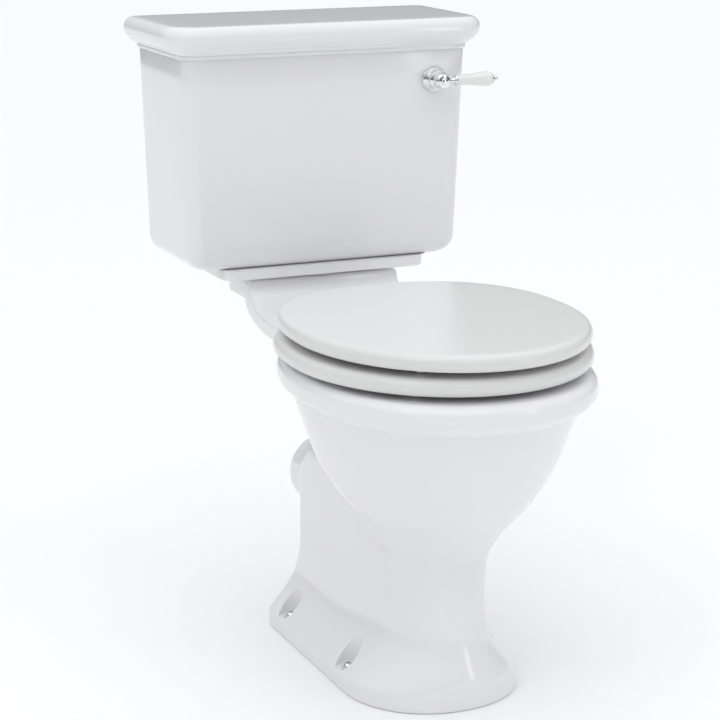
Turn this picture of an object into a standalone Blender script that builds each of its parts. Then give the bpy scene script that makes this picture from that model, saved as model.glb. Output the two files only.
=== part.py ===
"""Close coupled toilet: glazed pan and cistern, wooden seat, flush lever, siphon and float valve.

Metres, +Z up. The front faces -Y and the wall is at +Y. The origin is on the floor, on the centre plane,
in the middle of the rear bearing strip of the foot.
"""

import math

import bmesh
import bpy
from mathutils import Matrix, Vector

GAP = 0.0003  # between two pieces that touch

# Foot and pedestal
FOOT_HALF = 0.115
FOOT_BACK = 0.008
FOOT_SHOULDER = -0.2547  # where the straight sides end and the nose begins
FOOT_NOSE = 0.1185
PLINTH_TOP = 0.0236
COLUMN_SHOULDER = -0.2765
CAVITY_HALF = 0.056
SCREW_X = 0.099
SCREW_ROWS = {"rear": -0.0426, "front": -0.2400}
POCKET_RADIUS = 0.0172
POCKET_FLOOR = 0.0240
PAN_SPLIT = 0.245  # the one casting is two nodes, above and below this height

# Bowl and rim
BOWL_Y = -0.2765  # the widest point of rim, bowl and seat
RIM_TOP = 0.4235
NECK_HALF = 0.110
NECK_BOTTOM = 0.399
SHELF_FRONT = 0.0775
SHELF_BACK = 0.156
SHELF_TOP = 0.462
SHELF_BOTTOM = 0.4345
COUPLING_Y = 0.1165  # flush inlet and coupling bolts
COUPLING_X = 0.075
SPIGOT_END = 0.083
SPIGOT_Z = 0.187
TRAP_RADIUS = 0.050
TRAP_BORE = 0.038

# Cistern
WALL_Y = 0.2454
PLINTH_Z = 0.4665
BODY_BOTTOM = 0.4815
BODY_TOP = 0.7642
BODY_FRONT_TOP = 0.055
BODY_HALF_TOP = 0.2029
WALL = 0.009
LID_TOP = 0.8075
LID_HALF = 0.2265
LID_FRONT = 0.0315

# Flush lever
LEVER_X = 0.1527
LEVER_Z = 0.7246
LEVER_Y = 0.030  # the line of the grip
GRIP_START = 0.1745
GRIP_END = 0.2265
CRANK_X = 0.070  # the lifting rod and the slot in the crank

# Seat and hinge
HINGE_Y = -0.058
HINGE_Z = 0.452
SEAT_BACK = -0.075
RING_BOTTOM = 0.430
RING_TOP = 0.452
LID_BOTTOM = 0.4599
SEAT_LID_TOP = 0.4818
PILLAR_X = 0.0775
BAR_RADIUS = 0.005

# Float valve
VALVE_X = 0.125
VALVE_Y = 0.175
PIVOT_Z = 0.700
ARM_DROP = math.radians(22)
FLOAT_REACH = 0.125


def clear_scene():
    for obj in list(bpy.data.objects):
        bpy.data.objects.remove(obj)


def new_collection(name, cutters=False):
    collection = bpy.data.collections.new(name)
    bpy.context.scene.collection.children.link(collection)
    collection.hide_render = cutters
    return collection


clear_scene()
PARTS = new_collection("close_coupled_toilet")
CUTTERS = new_collection("cutters", cutters=True)


def material(name, colour, roughness, metallic=0.0):
    made = bpy.data.materials.new(name)
    made.use_nodes = True
    shader = made.node_tree.nodes["Principled BSDF"]
    shader.inputs["Base Color"].default_value = (*colour, 1.0)
    shader.inputs["Roughness"].default_value = roughness
    shader.inputs["Metallic"].default_value = metallic
    return made


GLAZE = material("white_glaze", (0.86, 0.86, 0.87), 0.06)
ENAMEL = material("seat_enamel", (0.88, 0.88, 0.87), 0.25)
CHROME = material("chrome", (0.80, 0.81, 0.82), 0.05, 1.0)
PORCELAIN = material("grip_porcelain", (0.90, 0.90, 0.89), 0.10)
BRASS = material("brass", (0.72, 0.56, 0.28), 0.30, 1.0)
STEEL = material("zinc_steel", (0.62, 0.63, 0.64), 0.35, 1.0)
RUBBER = material("black_rubber", (0.03, 0.03, 0.03), 0.75)
SPONGE = material("sponge_rubber", (0.56, 0.56, 0.55), 0.80)
CLEAR_RUBBER = material("bumper_rubber", (0.75, 0.75, 0.72), 0.45)
WHITE_PLASTIC = material("white_plastic", (0.82, 0.82, 0.80), 0.40)
BLUE_PLASTIC = material("valve_plastic", (0.16, 0.30, 0.52), 0.40)


def new_object(name, mesh, look=None):
    """A visible part when it has a material, a cutter when it has none."""
    obj = bpy.data.objects.new(name, mesh)
    if look is None:
        CUTTERS.objects.link(obj)
        obj.hide_render = True
        obj.display_type = "WIRE"
    else:
        PARTS.objects.link(obj)
        mesh.materials.clear()
        mesh.materials.append(look)
    return obj


def from_bmesh(name, shape, look=None, smooth=True):
    mesh = bpy.data.meshes.new(name)
    bmesh.ops.recalc_face_normals(shape, faces=shape.faces)
    bmesh.ops.triangulate(shape, faces=shape.faces)
    shape.to_mesh(mesh)
    shape.free()
    if smooth:
        mesh.shade_smooth()
        mesh.set_sharp_from_angle(angle=math.radians(35))
    return new_object(name, mesh, look)


def loft(name, rings, look=None):
    """A closed skin through rings of equally many points, with a flat cap at each end."""
    shape = bmesh.new()
    loops = [[shape.verts.new(point) for point in ring] for ring in rings]
    count = len(loops[0])
    for low, high in zip(loops, loops[1:]):
        for i in range(count):
            j = (i + 1) % count
            shape.faces.new((low[i], low[j], high[j], high[i]))
    shape.faces.new(loops[0])
    shape.faces.new(loops[-1])
    return from_bmesh(name, shape, look)


def place(axis, centre):
    """The matrix that turns +Z onto an axis and moves the origin to the centre."""
    turn = Vector((0, 0, 1)).rotation_difference(Vector(axis)).to_matrix().to_4x4()
    return Matrix.Translation(centre) @ turn


def rod(name, radius, start, end, look=None, sides=12, end_radius=None):
    """A cylinder or cone between two points."""
    start, end = Vector(start), Vector(end)
    shape = bmesh.new()
    bmesh.ops.create_cone(
        shape, cap_ends=True, segments=sides, radius1=radius, radius2=end_radius or radius,
        depth=(end - start).length, matrix=place((end - start).normalized(), (start + end) / 2),
    )
    return from_bmesh(name, shape, look)


def box(name, low, high, look=None, bevel=0.0):
    shape = bmesh.new()
    size = Vector(high) - Vector(low)
    centre = (Vector(low) + Vector(high)) / 2
    bmesh.ops.create_cube(shape, matrix=Matrix.Translation(centre) @ Matrix.Diagonal((*size, 1)))
    if bevel:
        bmesh.ops.bevel(shape, geom=shape.edges, offset=bevel, segments=1, profile=0.5, affect="EDGES")
    return from_bmesh(name, shape, look)


def prism(name, outline, half_width, look=None, bevel=0.0):
    """A side profile of (y, z) points, drawn out to both sides of the centre plane."""
    shape = bmesh.new()
    face = shape.faces.new([shape.verts.new((-half_width, y, z)) for y, z in outline])
    moved = bmesh.ops.extrude_face_region(shape, geom=[face])["geom"]
    corners = [item for item in moved if isinstance(item, bmesh.types.BMVert)]
    bmesh.ops.translate(shape, verts=corners, vec=(2 * half_width, 0, 0))
    if bevel:
        rims = [edge for edge in shape.edges if abs(edge.verts[0].co.x - edge.verts[1].co.x) < half_width]
        bmesh.ops.bevel(shape, geom=rims, offset=bevel, segments=2, profile=0.5, affect="EDGES")
    return from_bmesh(name, shape, look)


def tube(name, radius, points, look=None, resolution=3):
    """A round tube through the points, as a mesh with welded caps."""
    curve = bpy.data.curves.new(name, "CURVE")
    curve.dimensions = "3D"
    curve.bevel_depth = radius
    curve.bevel_resolution = resolution
    curve.use_fill_caps = True
    curve.resolution_u = 2
    spline = curve.splines.new("NURBS")
    spline.points.add(len(points) - 1)
    for control, point in zip(spline.points, points):
        control.co = (*point, 1.0)
    spline.order_u = 4
    spline.use_endpoint_u = True
    guide = bpy.data.objects.new(name + "_guide", curve)
    CUTTERS.objects.link(guide)
    bpy.context.view_layer.update()
    mesh = bpy.data.meshes.new_from_object(guide.evaluated_get(bpy.context.evaluated_depsgraph_get()))
    bpy.data.objects.remove(guide)
    shape = bmesh.new()
    shape.from_mesh(mesh)
    bmesh.ops.remove_doubles(shape, verts=shape.verts, dist=0.00001)
    bpy.data.meshes.remove(mesh)
    return from_bmesh(name, shape, look)


def turned(name, profile, axis, centre, look=None, steps=16):
    """A closed solid of revolution: (radius, height) points down the outside, closed on the axis."""
    mesh = bpy.data.meshes.new(name)
    closed = [(0.0, profile[0][1]), *profile, (0.0, profile[-1][1])]
    mesh.from_pydata([(r, 0, h) for r, h in closed], [(i, i + 1) for i in range(len(closed) - 1)], [])
    obj = new_object(name, mesh, look)
    screw = obj.modifiers.new("turn", "SCREW")
    screw.axis = "Z"
    screw.steps = screw.render_steps = steps
    screw.use_merge_vertices = True
    screw.merge_threshold = 0.00001
    screw.use_smooth_shade = True
    obj.matrix_world = place(axis, centre)
    return obj


def combine(target, other, operation="DIFFERENCE"):
    cut = target.modifiers.new(other.name, "BOOLEAN")
    cut.operation = operation
    cut.solver = "EXACT"
    cut.object = other
    return target


def superellipse(half, length, power, steps):
    """Points of one quarter, from (half, 0) to (0, length), both ends included."""
    angles = [math.pi / 2 * i / steps for i in range(steps + 1)]
    return [
        (half * abs(math.cos(a)) ** (2 / power), length * abs(math.sin(a)) ** (2 / power)) for a in angles
    ]


def egg(half, nose, tail, z, power=2.0, middle=BOWL_Y, steps=8):
    """A plan outline: half an ellipse in front and half a superellipse behind the widest point."""
    back = superellipse(half, tail, power, steps)
    front = superellipse(half, nose, 2.0, steps)
    right = [(x, middle + y) for x, y in back[:-1]] + [(0.0, middle + tail)]
    left = [(-x, middle + y) for x, y in reversed(back[:-1])]
    under = [(-x, middle - y) for x, y in front[1:-1]] + [(0.0, middle - nose)]
    close = [(x, middle - y) for x, y in reversed(front[1:-1])]
    return [(x, y, z) for x, y in right + left + under + close]


def rounded_box(half, front, back, front_radius, z, back_radius=0.005, steps=4):
    """A plan rectangle, symmetric about the centre plane, with round corners."""
    outline = []
    corners = ((1, 1, 0), (-1, 1, 90), (-1, -1, 180), (1, -1, 270))
    for side, end, start in corners:
        radius = back_radius if end > 0 else front_radius
        centre_x = side * (half - radius)
        centre_y = back - radius if end > 0 else front + radius
        for i in range(steps + 1):
            angle = math.radians(start + 90 * i / steps)
            outline.append((centre_x + radius * math.cos(angle), centre_y + radius * math.sin(angle), z))
    return outline


def foot_section(z, rear_half, front_half, nose, shoulder, back, corner=0.006, steps=8):
    """A plan outline with a flat back, straight sides and a rounded nose."""
    right = [(rear_half - corner, back), (rear_half, back - corner)]
    right += [
        (rear_half + (front_half - rear_half) * t, back - corner + (shoulder - back + corner) * t)
        for t in (0.33, 0.67)
    ]
    right += [(x, shoulder - y) for x, y in superellipse(front_half, nose, 2.15, steps)[:-1]]
    left = [(-x, y) for x, y in reversed(right)]
    return [(x, y, z) for x, y in [*right, (0.0, shoulder - nose), *left]]


def arc(centre, radii, start, end, steps):
    """Points of an ellipse's arc in the (y, z) plane, with angles in degrees from +Y towards +Z."""
    points = []
    for i in range(steps + 1):
        angle = math.radians(start + (end - start) * i / steps)
        points.append((centre[0] + radii[0] * math.cos(angle), centre[1] + radii[1] * math.sin(angle)))
    return points


# ---- Pan -------------------------------------------------------------------------------------------------

def pedestal_rings():
    """The plinth, the concave flare, the upright column and the rounded shoulder over the trap."""
    foot = [(0.0, 0.1135), (0.0015, FOOT_HALF), (PLINTH_TOP, FOOT_HALF)]
    rings = [foot_section(z, w, w, FOOT_NOSE - FOOT_HALF + w, FOOT_SHOULDER, FOOT_BACK) for z, w in foot]
    flare = ((0.0345, 0.1058, 0.1050), (0.0499, 0.0925, 0.0915), (0.0655, 0.0810, 0.0800),
             (0.0820, 0.0745, 0.0700), (0.1050, 0.0690, 0.0632), (0.1350, 0.0684, 0.0615),
             (0.1750, 0.0684, 0.0650), (0.2000, 0.0684, 0.0720))
    for z, rear, front in flare:
        up = min(1.0, (z - PLINTH_TOP) / 0.08)
        shoulder = FOOT_SHOULDER + (COLUMN_SHOULDER - FOOT_SHOULDER) * up
        rings.append(foot_section(z, rear, front, front * 1.22, shoulder, FOOT_BACK))
    for z, back, inset in ((0.225, 0.004, 0.001), (0.247, -0.014, 0.006), (0.262, -0.045, 0.018)):
        half = 0.0684 - inset
        rings.append(foot_section(z, half, half, 0.07, COLUMN_SHOULDER + 0.02, back))
    return rings


def bowl_rings():
    """The rolled rim, the crease under it and the round belly, from the top down."""
    levels = (
        (RIM_TOP, 0.1720, 0.2156, 0.210), (0.4205, 0.1800, 0.2236, 0.218), (0.4100, 0.1850, 0.2286, 0.222),
        (0.3980, 0.1825, 0.2260, 0.214), (0.3895, 0.1750, 0.2170, 0.204), (0.3861, 0.1690, 0.2093, 0.200),
        (0.3700, 0.1640, 0.2030, 0.206), (0.3450, 0.1570, 0.1940, 0.192), (0.3180, 0.1480, 0.1830, 0.185),
        (0.2860, 0.1330, 0.1640, 0.177), (0.2525, 0.1126, 0.1390, 0.148), (0.2270, 0.0920, 0.1130, 0.110),
        (0.2110, 0.0790, 0.0975, 0.078), (0.1980, 0.0660, 0.0820, 0.062),
        (0.1850, 0.0540, 0.0660, 0.057), (0.1300, 0.0500, 0.0570, 0.056), (0.1080, 0.0420, 0.0480, 0.050),
    )
    return [egg(half, nose, tail, z, 2.2 if z > 0.38 else 2.0) for z, half, nose, tail in levels]


def basin_rings():
    """The hollow of the bowl: mouth, open flushing channel in the rim, sides and sump."""
    levels = (
        (0.4400, 0.1180, 0.1560, 0.140), (0.3840, 0.1180, 0.1560, 0.140), (0.3840, 0.1260, 0.1650, 0.148),
        (0.4080, 0.1300, 0.1700, 0.152), (0.4080, 0.1600, 0.2010, 0.182), (0.3800, 0.1540, 0.1910, 0.182),
        (0.3450, 0.1450, 0.1820, 0.178), (0.3100, 0.1320, 0.1660, 0.168), (0.2700, 0.1120, 0.1400, 0.140),
        (0.2350, 0.0850, 0.1060, 0.100), (0.2050, 0.0560, 0.0720, 0.064), (0.1700, 0.0420, 0.0500, 0.050),
        (0.1250, 0.0360, 0.0400, 0.045),
    )
    return [egg(half, nose, tail, z) for z, half, nose, tail in levels]


def neck_outline():
    """Side view of the deck behind the rim, which sweeps up into the shelf under the cistern."""
    top = arc((0.012, SHELF_TOP), (SHELF_FRONT - 0.012, SHELF_TOP - RIM_TOP + 0.0003), -90, 0, 6)
    below = arc((-0.01, SHELF_BOTTOM), (0.104, SHELF_BOTTOM - NECK_BOTTOM), 0, -90, 5)
    shelf = [(SHELF_BACK, SHELF_TOP), (SHELF_BACK, SHELF_BOTTOM)]
    return [(-0.14, RIM_TOP - 0.0003), *top, *shelf, *below, (-0.14, NECK_BOTTOM)]


TRAP_PATH = ((0, -0.262, 0.150), (0, -0.225, 0.112), (0, -0.160, 0.118), (0, -0.118, 0.190),
             (0, -0.070, 0.242), (0, -0.012, 0.222), (0, 0.030, SPIGOT_Z), (0, SPIGOT_END, SPIGOT_Z))
CHANNEL_PATH = ((0, COUPLING_Y, 0.450), (0, COUPLING_Y, 0.415), (0, 0.070, 0.385), (0, 0.0, 0.378),
                (0, -0.085, 0.385))


def drilled(target, name, radius, start, end, sides=16):
    return combine(target, rod(name, radius, start, end, sides=sides))


def build_pan():
    pan = loft("pan_bowl", pedestal_rings(), GLAZE)
    levels = ((-0.010, 0.035, -0.008), (0.011, 0.035, -0.008), (0.015, 0.0, -0.008), (0.200, 0.0, -0.008),
              (0.235, 0.0, -0.03))
    cavity = [
        foot_section(z, CAVITY_HALF + out, CAVITY_HALF - 0.004 + out, 0.066, COLUMN_SHOULDER, back, 0.012, 6)
        for z, out, back in levels
    ]
    combine(pan, loft("pedestal_cavity", cavity))
    combine(pan, tube("trap_outer", TRAP_RADIUS, TRAP_PATH), "UNION")
    combine(pan, tube("flush_channel_outer", 0.031, CHANNEL_PATH, resolution=2), "UNION")
    combine(pan, prism("neck", neck_outline(), NECK_HALF, bevel=0.005), "UNION")
    combine(pan, loft("bowl_outer", bowl_rings()), "UNION")
    combine(pan, loft("basin", basin_rings()))
    bore_path = (*TRAP_PATH[:-1], (0, SPIGOT_END + 0.02, SPIGOT_Z))
    combine(pan, tube("trap_bore", TRAP_BORE, bore_path))
    inlet = rod("flush_inlet", 0.034, (0, COUPLING_Y, 0.448), (0, COUPLING_Y, 0.48), sides=24)
    combine(pan, inlet)
    combine(pan, tube("flush_channel", 0.020, (*CHANNEL_PATH[:-1], (0, -0.105, 0.396)), resolution=1))
    for side, sign in (("left", -1), ("right", 1)):
        bolt = (sign * COUPLING_X, COUPLING_Y)
        drilled(pan, f"bolt_hole_{side}", 0.007, (*bolt, 0.42), (*bolt, 0.48), 12)
        post = (sign * PILLAR_X, HINGE_Y)
        drilled(pan, f"seat_hole_{side}", 0.007, (*post, 0.38), (*post, 0.44), 12)
        for row, y in SCREW_ROWS.items():
            spot = (sign * SCREW_X, y)
            drilled(pan, f"pocket_{row}_{side}", POCKET_RADIUS, (*spot, POCKET_FLOOR), (*spot, 0.11), 16)
            drilled(pan, f"screw_hole_{row}_{side}", 0.0035, (*spot, -0.01), (*spot, 0.04), 10)
    pedestal = pan.copy()
    pedestal.name = "pan_pedestal"
    PARTS.objects.link(pedestal)
    combine(pan, box("below_split", (-0.3, -0.6, -0.1), (0.3, 0.2, PAN_SPLIT + GAP)))
    combine(pedestal, box("above_split", (-0.3, -0.6, PAN_SPLIT), (0.3, 0.2, 0.6)))


def build_floor_screws():
    for row, y in SCREW_ROWS.items():
        for side, sign in (("left", -1), ("right", 1)):
            spot = Vector((sign * SCREW_X, y, POCKET_FLOOR + GAP))
            washer = rod(f"floor_washer_{row}_{side}", 0.0095, spot, spot + Vector((0, 0, 0.0015)), CHROME,
                         20)
            drilled(washer, f"washer_hole_{row}_{side}", 0.0035, spot - Vector((0, 0, 0.01)),
                    spot + Vector((0, 0, 0.01)), 10)
            head = 0.0015 + GAP
            profile = [(0.0035, head + 0.0052), (0.0062, head + 0.0036), (0.0068, head), (0.0028, head),
                       (0.0028, 0.0006 - POCKET_FLOOR)]
            turned(f"floor_screw_{row}_{side}", profile, (0, 0, 1), spot, CHROME, 12)


# ---- Cistern ---------------------------------------------------------------------------------------------

def body_half(z):
    """The half width of the tapered cistern at a height."""
    return BODY_HALF_TOP - (BODY_TOP - z) * 0.0336


def body_front(z):
    return BODY_FRONT_TOP + (BODY_TOP - z) * 0.027


def cistern_rings():
    """The narrow plinth, the step out from it, the rounded bottom edge and the tapered sides."""
    rings = [rounded_box(0.1475, 0.066, WALL_Y - 0.02, 0.018, z) for z in (PLINTH_Z, BODY_BOTTOM)]
    for inset, rise in ((0.026, 0.0005), (0.011, 0.0035), (0.003, 0.0115), (0.0, 0.0245)):
        z = BODY_BOTTOM + rise
        back = WALL_Y - inset * 0.5
        rings.append(rounded_box(body_half(z) - inset, body_front(z) + inset * 0.7, back, 0.019, z))
    rings.append(rounded_box(BODY_HALF_TOP, BODY_FRONT_TOP, WALL_Y, 0.019, BODY_TOP))
    return rings


def tank_rings():
    floor = BODY_BOTTOM + 0.011
    levels = ((floor, 0.012), (floor + 0.004, 0.006), (floor + 0.015, 0.0), (BODY_TOP + 0.01, 0.0))
    return [
        rounded_box(body_half(z) - WALL - inset, body_front(z) + WALL + inset, WALL_Y - WALL - inset, 0.014,
                    z)
        for z, inset in levels
    ]


def build_cistern():
    body = loft("cistern_body", cistern_rings(), GLAZE)
    combine(body, loft("tank", tank_rings()))
    holes = {"outlet": (0, COUPLING_Y, 0.021), "inlet": (VALVE_X, VALVE_Y, 0.0115),
             "bolt_left": (-COUPLING_X, COUPLING_Y, 0.0055), "bolt_right": (COUPLING_X, COUPLING_Y, 0.0055)}
    for name, (x, y, radius) in holes.items():
        drilled(body, f"tank_hole_{name}", radius, (x, y, 0.45), (x, y, 0.51))
    drilled(body, "lever_hole", 0.0095, (LEVER_X, 0.04, LEVER_Z), (LEVER_X, 0.085, LEVER_Z))
    lid = loft("cistern_lid", lid_rings(), GLAZE)
    recess = ((0.7500, 0.0), (0.7780, 0.0), (0.7830, 0.021), (0.7975, 0.021))
    rings = [
        rounded_box(0.186 + out, 0.0735 - out, 0.2270 + out / 3, 0.014 + out, z, steps=3) for z, out in recess
    ]
    combine(lid, loft("lid_recess", rings))
    return body, lid


def lid_rings():
    """The square bead, the cove and the bullnose of the lid, then its flat top: (height, overhang)."""
    start = BODY_TOP + GAP
    edge = ((start, 0.0030), (start + 0.0010, 0.0042), (start + 0.0055, 0.0042), (start + 0.0062, 0.0055),
            (start + 0.0090, 0.0085), (start + 0.0125, 0.0145), (start + 0.0138, 0.0190))
    rings = []
    for z, out in edge:
        corner = 0.022 + out
        rings.append(rounded_box(BODY_HALF_TOP + out, BODY_FRONT_TOP - out, WALL_Y, corner, z))
    middle = 0.7925
    for angle in (-50, -25, 0, 25, 50, 72):
        turn = math.radians(angle)
        inset = 0.0140 * (1 - math.cos(turn))
        z = middle + (LID_TOP - middle) * math.sin(turn)
        back = WALL_Y - max(0.0, inset - 0.006)
        rings.append(rounded_box(LID_HALF - inset, LID_FRONT + inset, back, 0.045 - inset, z, 0.012))
    rings.append(rounded_box(LID_HALF - 0.020, LID_FRONT + 0.020, WALL_Y - 0.014, 0.025, LID_TOP, 0.008))
    return rings


# ---- Flush lever -----------------------------------------------------------------------------------------

def build_lever():
    outer = body_front(LEVER_Z)
    inner = outer + WALL
    axis_end = Vector((LEVER_X, 0, LEVER_Z))
    rose_back = body_front(LEVER_Z + 0.018) - GAP
    rose = [(0.0095, 0.0075), (0.0135, 0.0062), (0.0165, 0.0032), (0.0176, 0.0)]
    rose_part = turned("lever_rose", rose, (0, -1, 0), axis_end + Vector((0, rose_back, 0)), CHROME)
    bore = rod("rose_bore", 0.0089, (LEVER_X, rose_back - 0.02, LEVER_Z), (LEVER_X, outer + 0.02, LEVER_Z))
    combine(rose_part, bore)
    bush = rod("lever_bush", 0.0085, (LEVER_X, rose_back - 0.0062, LEVER_Z),
               (LEVER_X, inner + 0.014, LEVER_Z), BRASS)
    drilled(bush, "bush_bore", 0.0047, (LEVER_X, 0.02, LEVER_Z), (LEVER_X, 0.12, LEVER_Z))
    nut = rod("lever_backnut", 0.0155, (LEVER_X, inner + 0.0006, LEVER_Z), (LEVER_X, inner + 0.0076, LEVER_Z),
              BRASS, sides=6)
    drilled(nut, "backnut_bore", 0.0088, (LEVER_X, 0.05, LEVER_Z), (LEVER_X, 0.12, LEVER_Z))
    boss_back = rose_back - 0.0079
    boss = [(0.0040, 0.0285), (0.0085, 0.0272), (0.0108, 0.0240), (0.0112, 0.0180), (0.0108, 0.0120),
            (0.0132, 0.0095), (0.0136, 0.0045), (0.0125, 0.0006), (0.0115, 0.0), (0.0043, 0.0),
            (0.0043, -0.0620)]
    spindle = turned("lever_boss_and_spindle", boss, (0, -1, 0), axis_end + Vector((0, boss_back, 0)), CHROME)
    neck = [(0.0034, 0.0099), (0.0036, 0.0052), (0.0052, 0.0040), (0.0072, 0.0026), (0.0075, 0.0006),
            (0.0066, 0.0)]
    hub = Vector((GRIP_START - GAP, LEVER_Y, LEVER_Z))
    neck_part = turned("lever_neck", neck, (-1, 0, 0), hub, CHROME, 16)
    length = GRIP_END - GRIP_START
    grip = [(0.0056, 1.0), (0.0084, 0.97), (0.0099, 0.87), (0.0096, 0.72), (0.0080, 0.50), (0.0072, 0.28),
            (0.0070, 0.10), (0.0064, 0.0)]
    profile = [(r, h * length) for r, h in grip]
    grip_part = turned("lever_grip", profile, (1, 0, 0), (GRIP_START, LEVER_Y, LEVER_Z), PORCELAIN)
    cap = [(0.0016, 0.0098), (0.0032, 0.0084), (0.0034, 0.0066), (0.0024, 0.0050), (0.0044, 0.0040),
           (0.0066, 0.0018), (0.0068, 0.0)]
    cap_part = turned("lever_cap", cap, (1, 0, 0), (GRIP_END + GAP, LEVER_Y, LEVER_Z), CHROME, 16)
    return spindle, neck_part, grip_part, cap_part


def build_crank():
    """The arm on the inner end of the spindle, with a slot that lifts the siphon's rod."""
    y = COUPLING_Y
    arm = box("lever_crank", (CRANK_X - 0.019, y - 0.007, LEVER_Z - 0.0025),
              (LEVER_X + 0.009, y + 0.007, LEVER_Z + 0.0025), BRASS, 0.001)
    hub = rod("crank_hub", 0.009, (LEVER_X, y - 0.008, LEVER_Z), (LEVER_X, y + 0.006, LEVER_Z))
    combine(arm, hub, "UNION")
    tail_end = body_front(LEVER_Z + 0.018) - GAP - 0.0079 + 0.0620
    combine(arm, rod("crank_socket", 0.0046, (LEVER_X, 0.09, LEVER_Z), (LEVER_X, tail_end + GAP, LEVER_Z)))
    combine(arm, box("crank_slot", (CRANK_X - 0.0150, y - 0.0035, 0.70),
                     (CRANK_X + 0.0065, y + 0.0035, 0.75)))
    return arm


# ---- Siphon and flush outlet -----------------------------------------------------------------------------

CHAMBER_RADIUS = 0.034
LEG_RADIUS = 0.0235
SIPHON_TOP = 0.664


def build_siphon():
    """A down leg over the outlet and a piston chamber beside it, joined by a bridge at the top."""
    floor = BODY_BOTTOM + 0.011 + GAP
    body = rod("siphon_body", LEG_RADIUS, (0, COUPLING_Y, floor + 0.006), (0, COUPLING_Y, SIPHON_TOP - 0.01),
               WHITE_PLASTIC, 20)
    chamber = rod("siphon_chamber", CHAMBER_RADIUS, (CRANK_X, COUPLING_Y, floor + 0.012),
                  (CRANK_X, COUPLING_Y, 0.625), sides=24)
    bridge = box("siphon_bridge", (-0.020, COUPLING_Y - 0.019, 0.600),
                 (CRANK_X + 0.024, COUPLING_Y + 0.019, SIPHON_TOP), bevel=0.006)
    flange = rod("siphon_flange", 0.031, (0, COUPLING_Y, floor), (0, COUPLING_Y, floor + 0.0075), sides=20)
    tail = rod("siphon_tail", 0.0190, (0, COUPLING_Y, 0.452), (0, COUPLING_Y, floor + 0.007), sides=20)
    for piece in (chamber, bridge, flange, tail):
        combine(body, piece, "UNION")
    combine(body, rod("chamber_bore", CHAMBER_RADIUS - 0.0025, (CRANK_X, COUPLING_Y, 0.48),
                      (CRANK_X, COUPLING_Y, 0.620), sides=24))
    passage = box("bridge_bore", (-0.0165, COUPLING_Y - 0.0155, 0.610),
                  (CRANK_X + 0.0205, COUPLING_Y + 0.0155, SIPHON_TOP - 0.0035))
    combine(body, passage)
    combine(body, rod("leg_bore", 0.0155, (0, COUPLING_Y, 0.43), (0, COUPLING_Y, 0.62), sides=20))
    combine(body, rod("rod_hole", 0.0036, (CRANK_X, COUPLING_Y, 0.61), (CRANK_X, COUPLING_Y, 0.68), sides=12))
    nut = rod("siphon_backnut", 0.0310, (0, COUPLING_Y, PLINTH_Z - GAP - 0.009),
              (0, COUPLING_Y, PLINTH_Z - GAP), WHITE_PLASTIC, 8)
    drilled(nut, "siphon_nut_bore", 0.0193, (0, COUPLING_Y, 0.44), (0, COUPLING_Y, 0.49), 20)
    washer = rod("close_coupling_washer", 0.0385, (0, COUPLING_Y, SHELF_TOP + GAP),
                 (0, COUPLING_Y, PLINTH_Z - GAP), SPONGE, 28)
    drilled(washer, "foam_bore", 0.0320, (0, COUPLING_Y, 0.44), (0, COUPLING_Y, 0.49), 24)
    return body


def build_siphon_rod():
    """The piston plate, its rod and the collar that the crank lifts."""
    plate_z = 0.520
    profile = [(0.0028, 0.742), (0.0028, plate_z + 0.004), (0.0300, plate_z + 0.003), (0.0300, plate_z)]
    turned("siphon_rod", [(r, z - plate_z) for r, z in profile], (0, 0, 1),
           (CRANK_X, COUPLING_Y, plate_z), STEEL, 20)
    low = LEVER_Z + 0.0033
    collar = rod("siphon_rod_collar", 0.0062, (CRANK_X, COUPLING_Y, low), (CRANK_X, COUPLING_Y, low + 0.006),
                 STEEL, 12)
    drilled(collar, "collar_bore", 0.0031, (CRANK_X, COUPLING_Y, 0.70), (CRANK_X, COUPLING_Y, 0.76), 12)


def build_coupling_bolts():
    floor = BODY_BOTTOM + 0.011 + GAP
    for side, sign in (("left", -1), ("right", 1)):
        x = sign * COUPLING_X
        spot = (x, COUPLING_Y, 0.0)
        seal = rod(f"bolt_seal_{side}", 0.0115, (x, COUPLING_Y, floor), (x, COUPLING_Y, floor + 0.003),
                   RUBBER)
        drilled(seal, f"seal_bore_{side}", 0.0046, (x, COUPLING_Y, 0.45), (x, COUPLING_Y, 0.52), 12)
        head = floor + 0.003 + GAP
        profile = [(0.0050, head + 0.0050), (0.0085, head + 0.0030), (0.0090, head), (0.0040, head),
                   (0.0040, 0.4080)]
        turned(f"coupling_bolt_{side}", profile, (0, 0, 1), spot, BRASS, 12)
        top = SHELF_BOTTOM - GAP
        washer = rod(f"shelf_washer_{side}", 0.0120, (x, COUPLING_Y, top - 0.0025), (x, COUPLING_Y, top),
                     RUBBER)
        drilled(washer, f"shelf_washer_bore_{side}", 0.0044, (x, COUPLING_Y, 0.40), (x, COUPLING_Y, 0.46), 12)
        under = top - 0.0025 - GAP
        nut = rod(f"wing_nut_{side}", 0.0078, (x, COUPLING_Y, under), (x, COUPLING_Y, under - 0.008), BRASS,
                  12, 0.0062)
        wings = box(f"wings_{side}", (x - 0.0020, COUPLING_Y - 0.0165, under - 0.0110),
                    (x + 0.0020, COUPLING_Y + 0.0165, under - 0.0030), bevel=0.0012)
        combine(nut, wings, "UNION")
        drilled(nut, f"wing_nut_bore_{side}", 0.0044, (x, COUPLING_Y, 0.39), (x, COUPLING_Y, 0.45), 12)


# ---- Float valve -----------------------------------------------------------------------------------------

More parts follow.
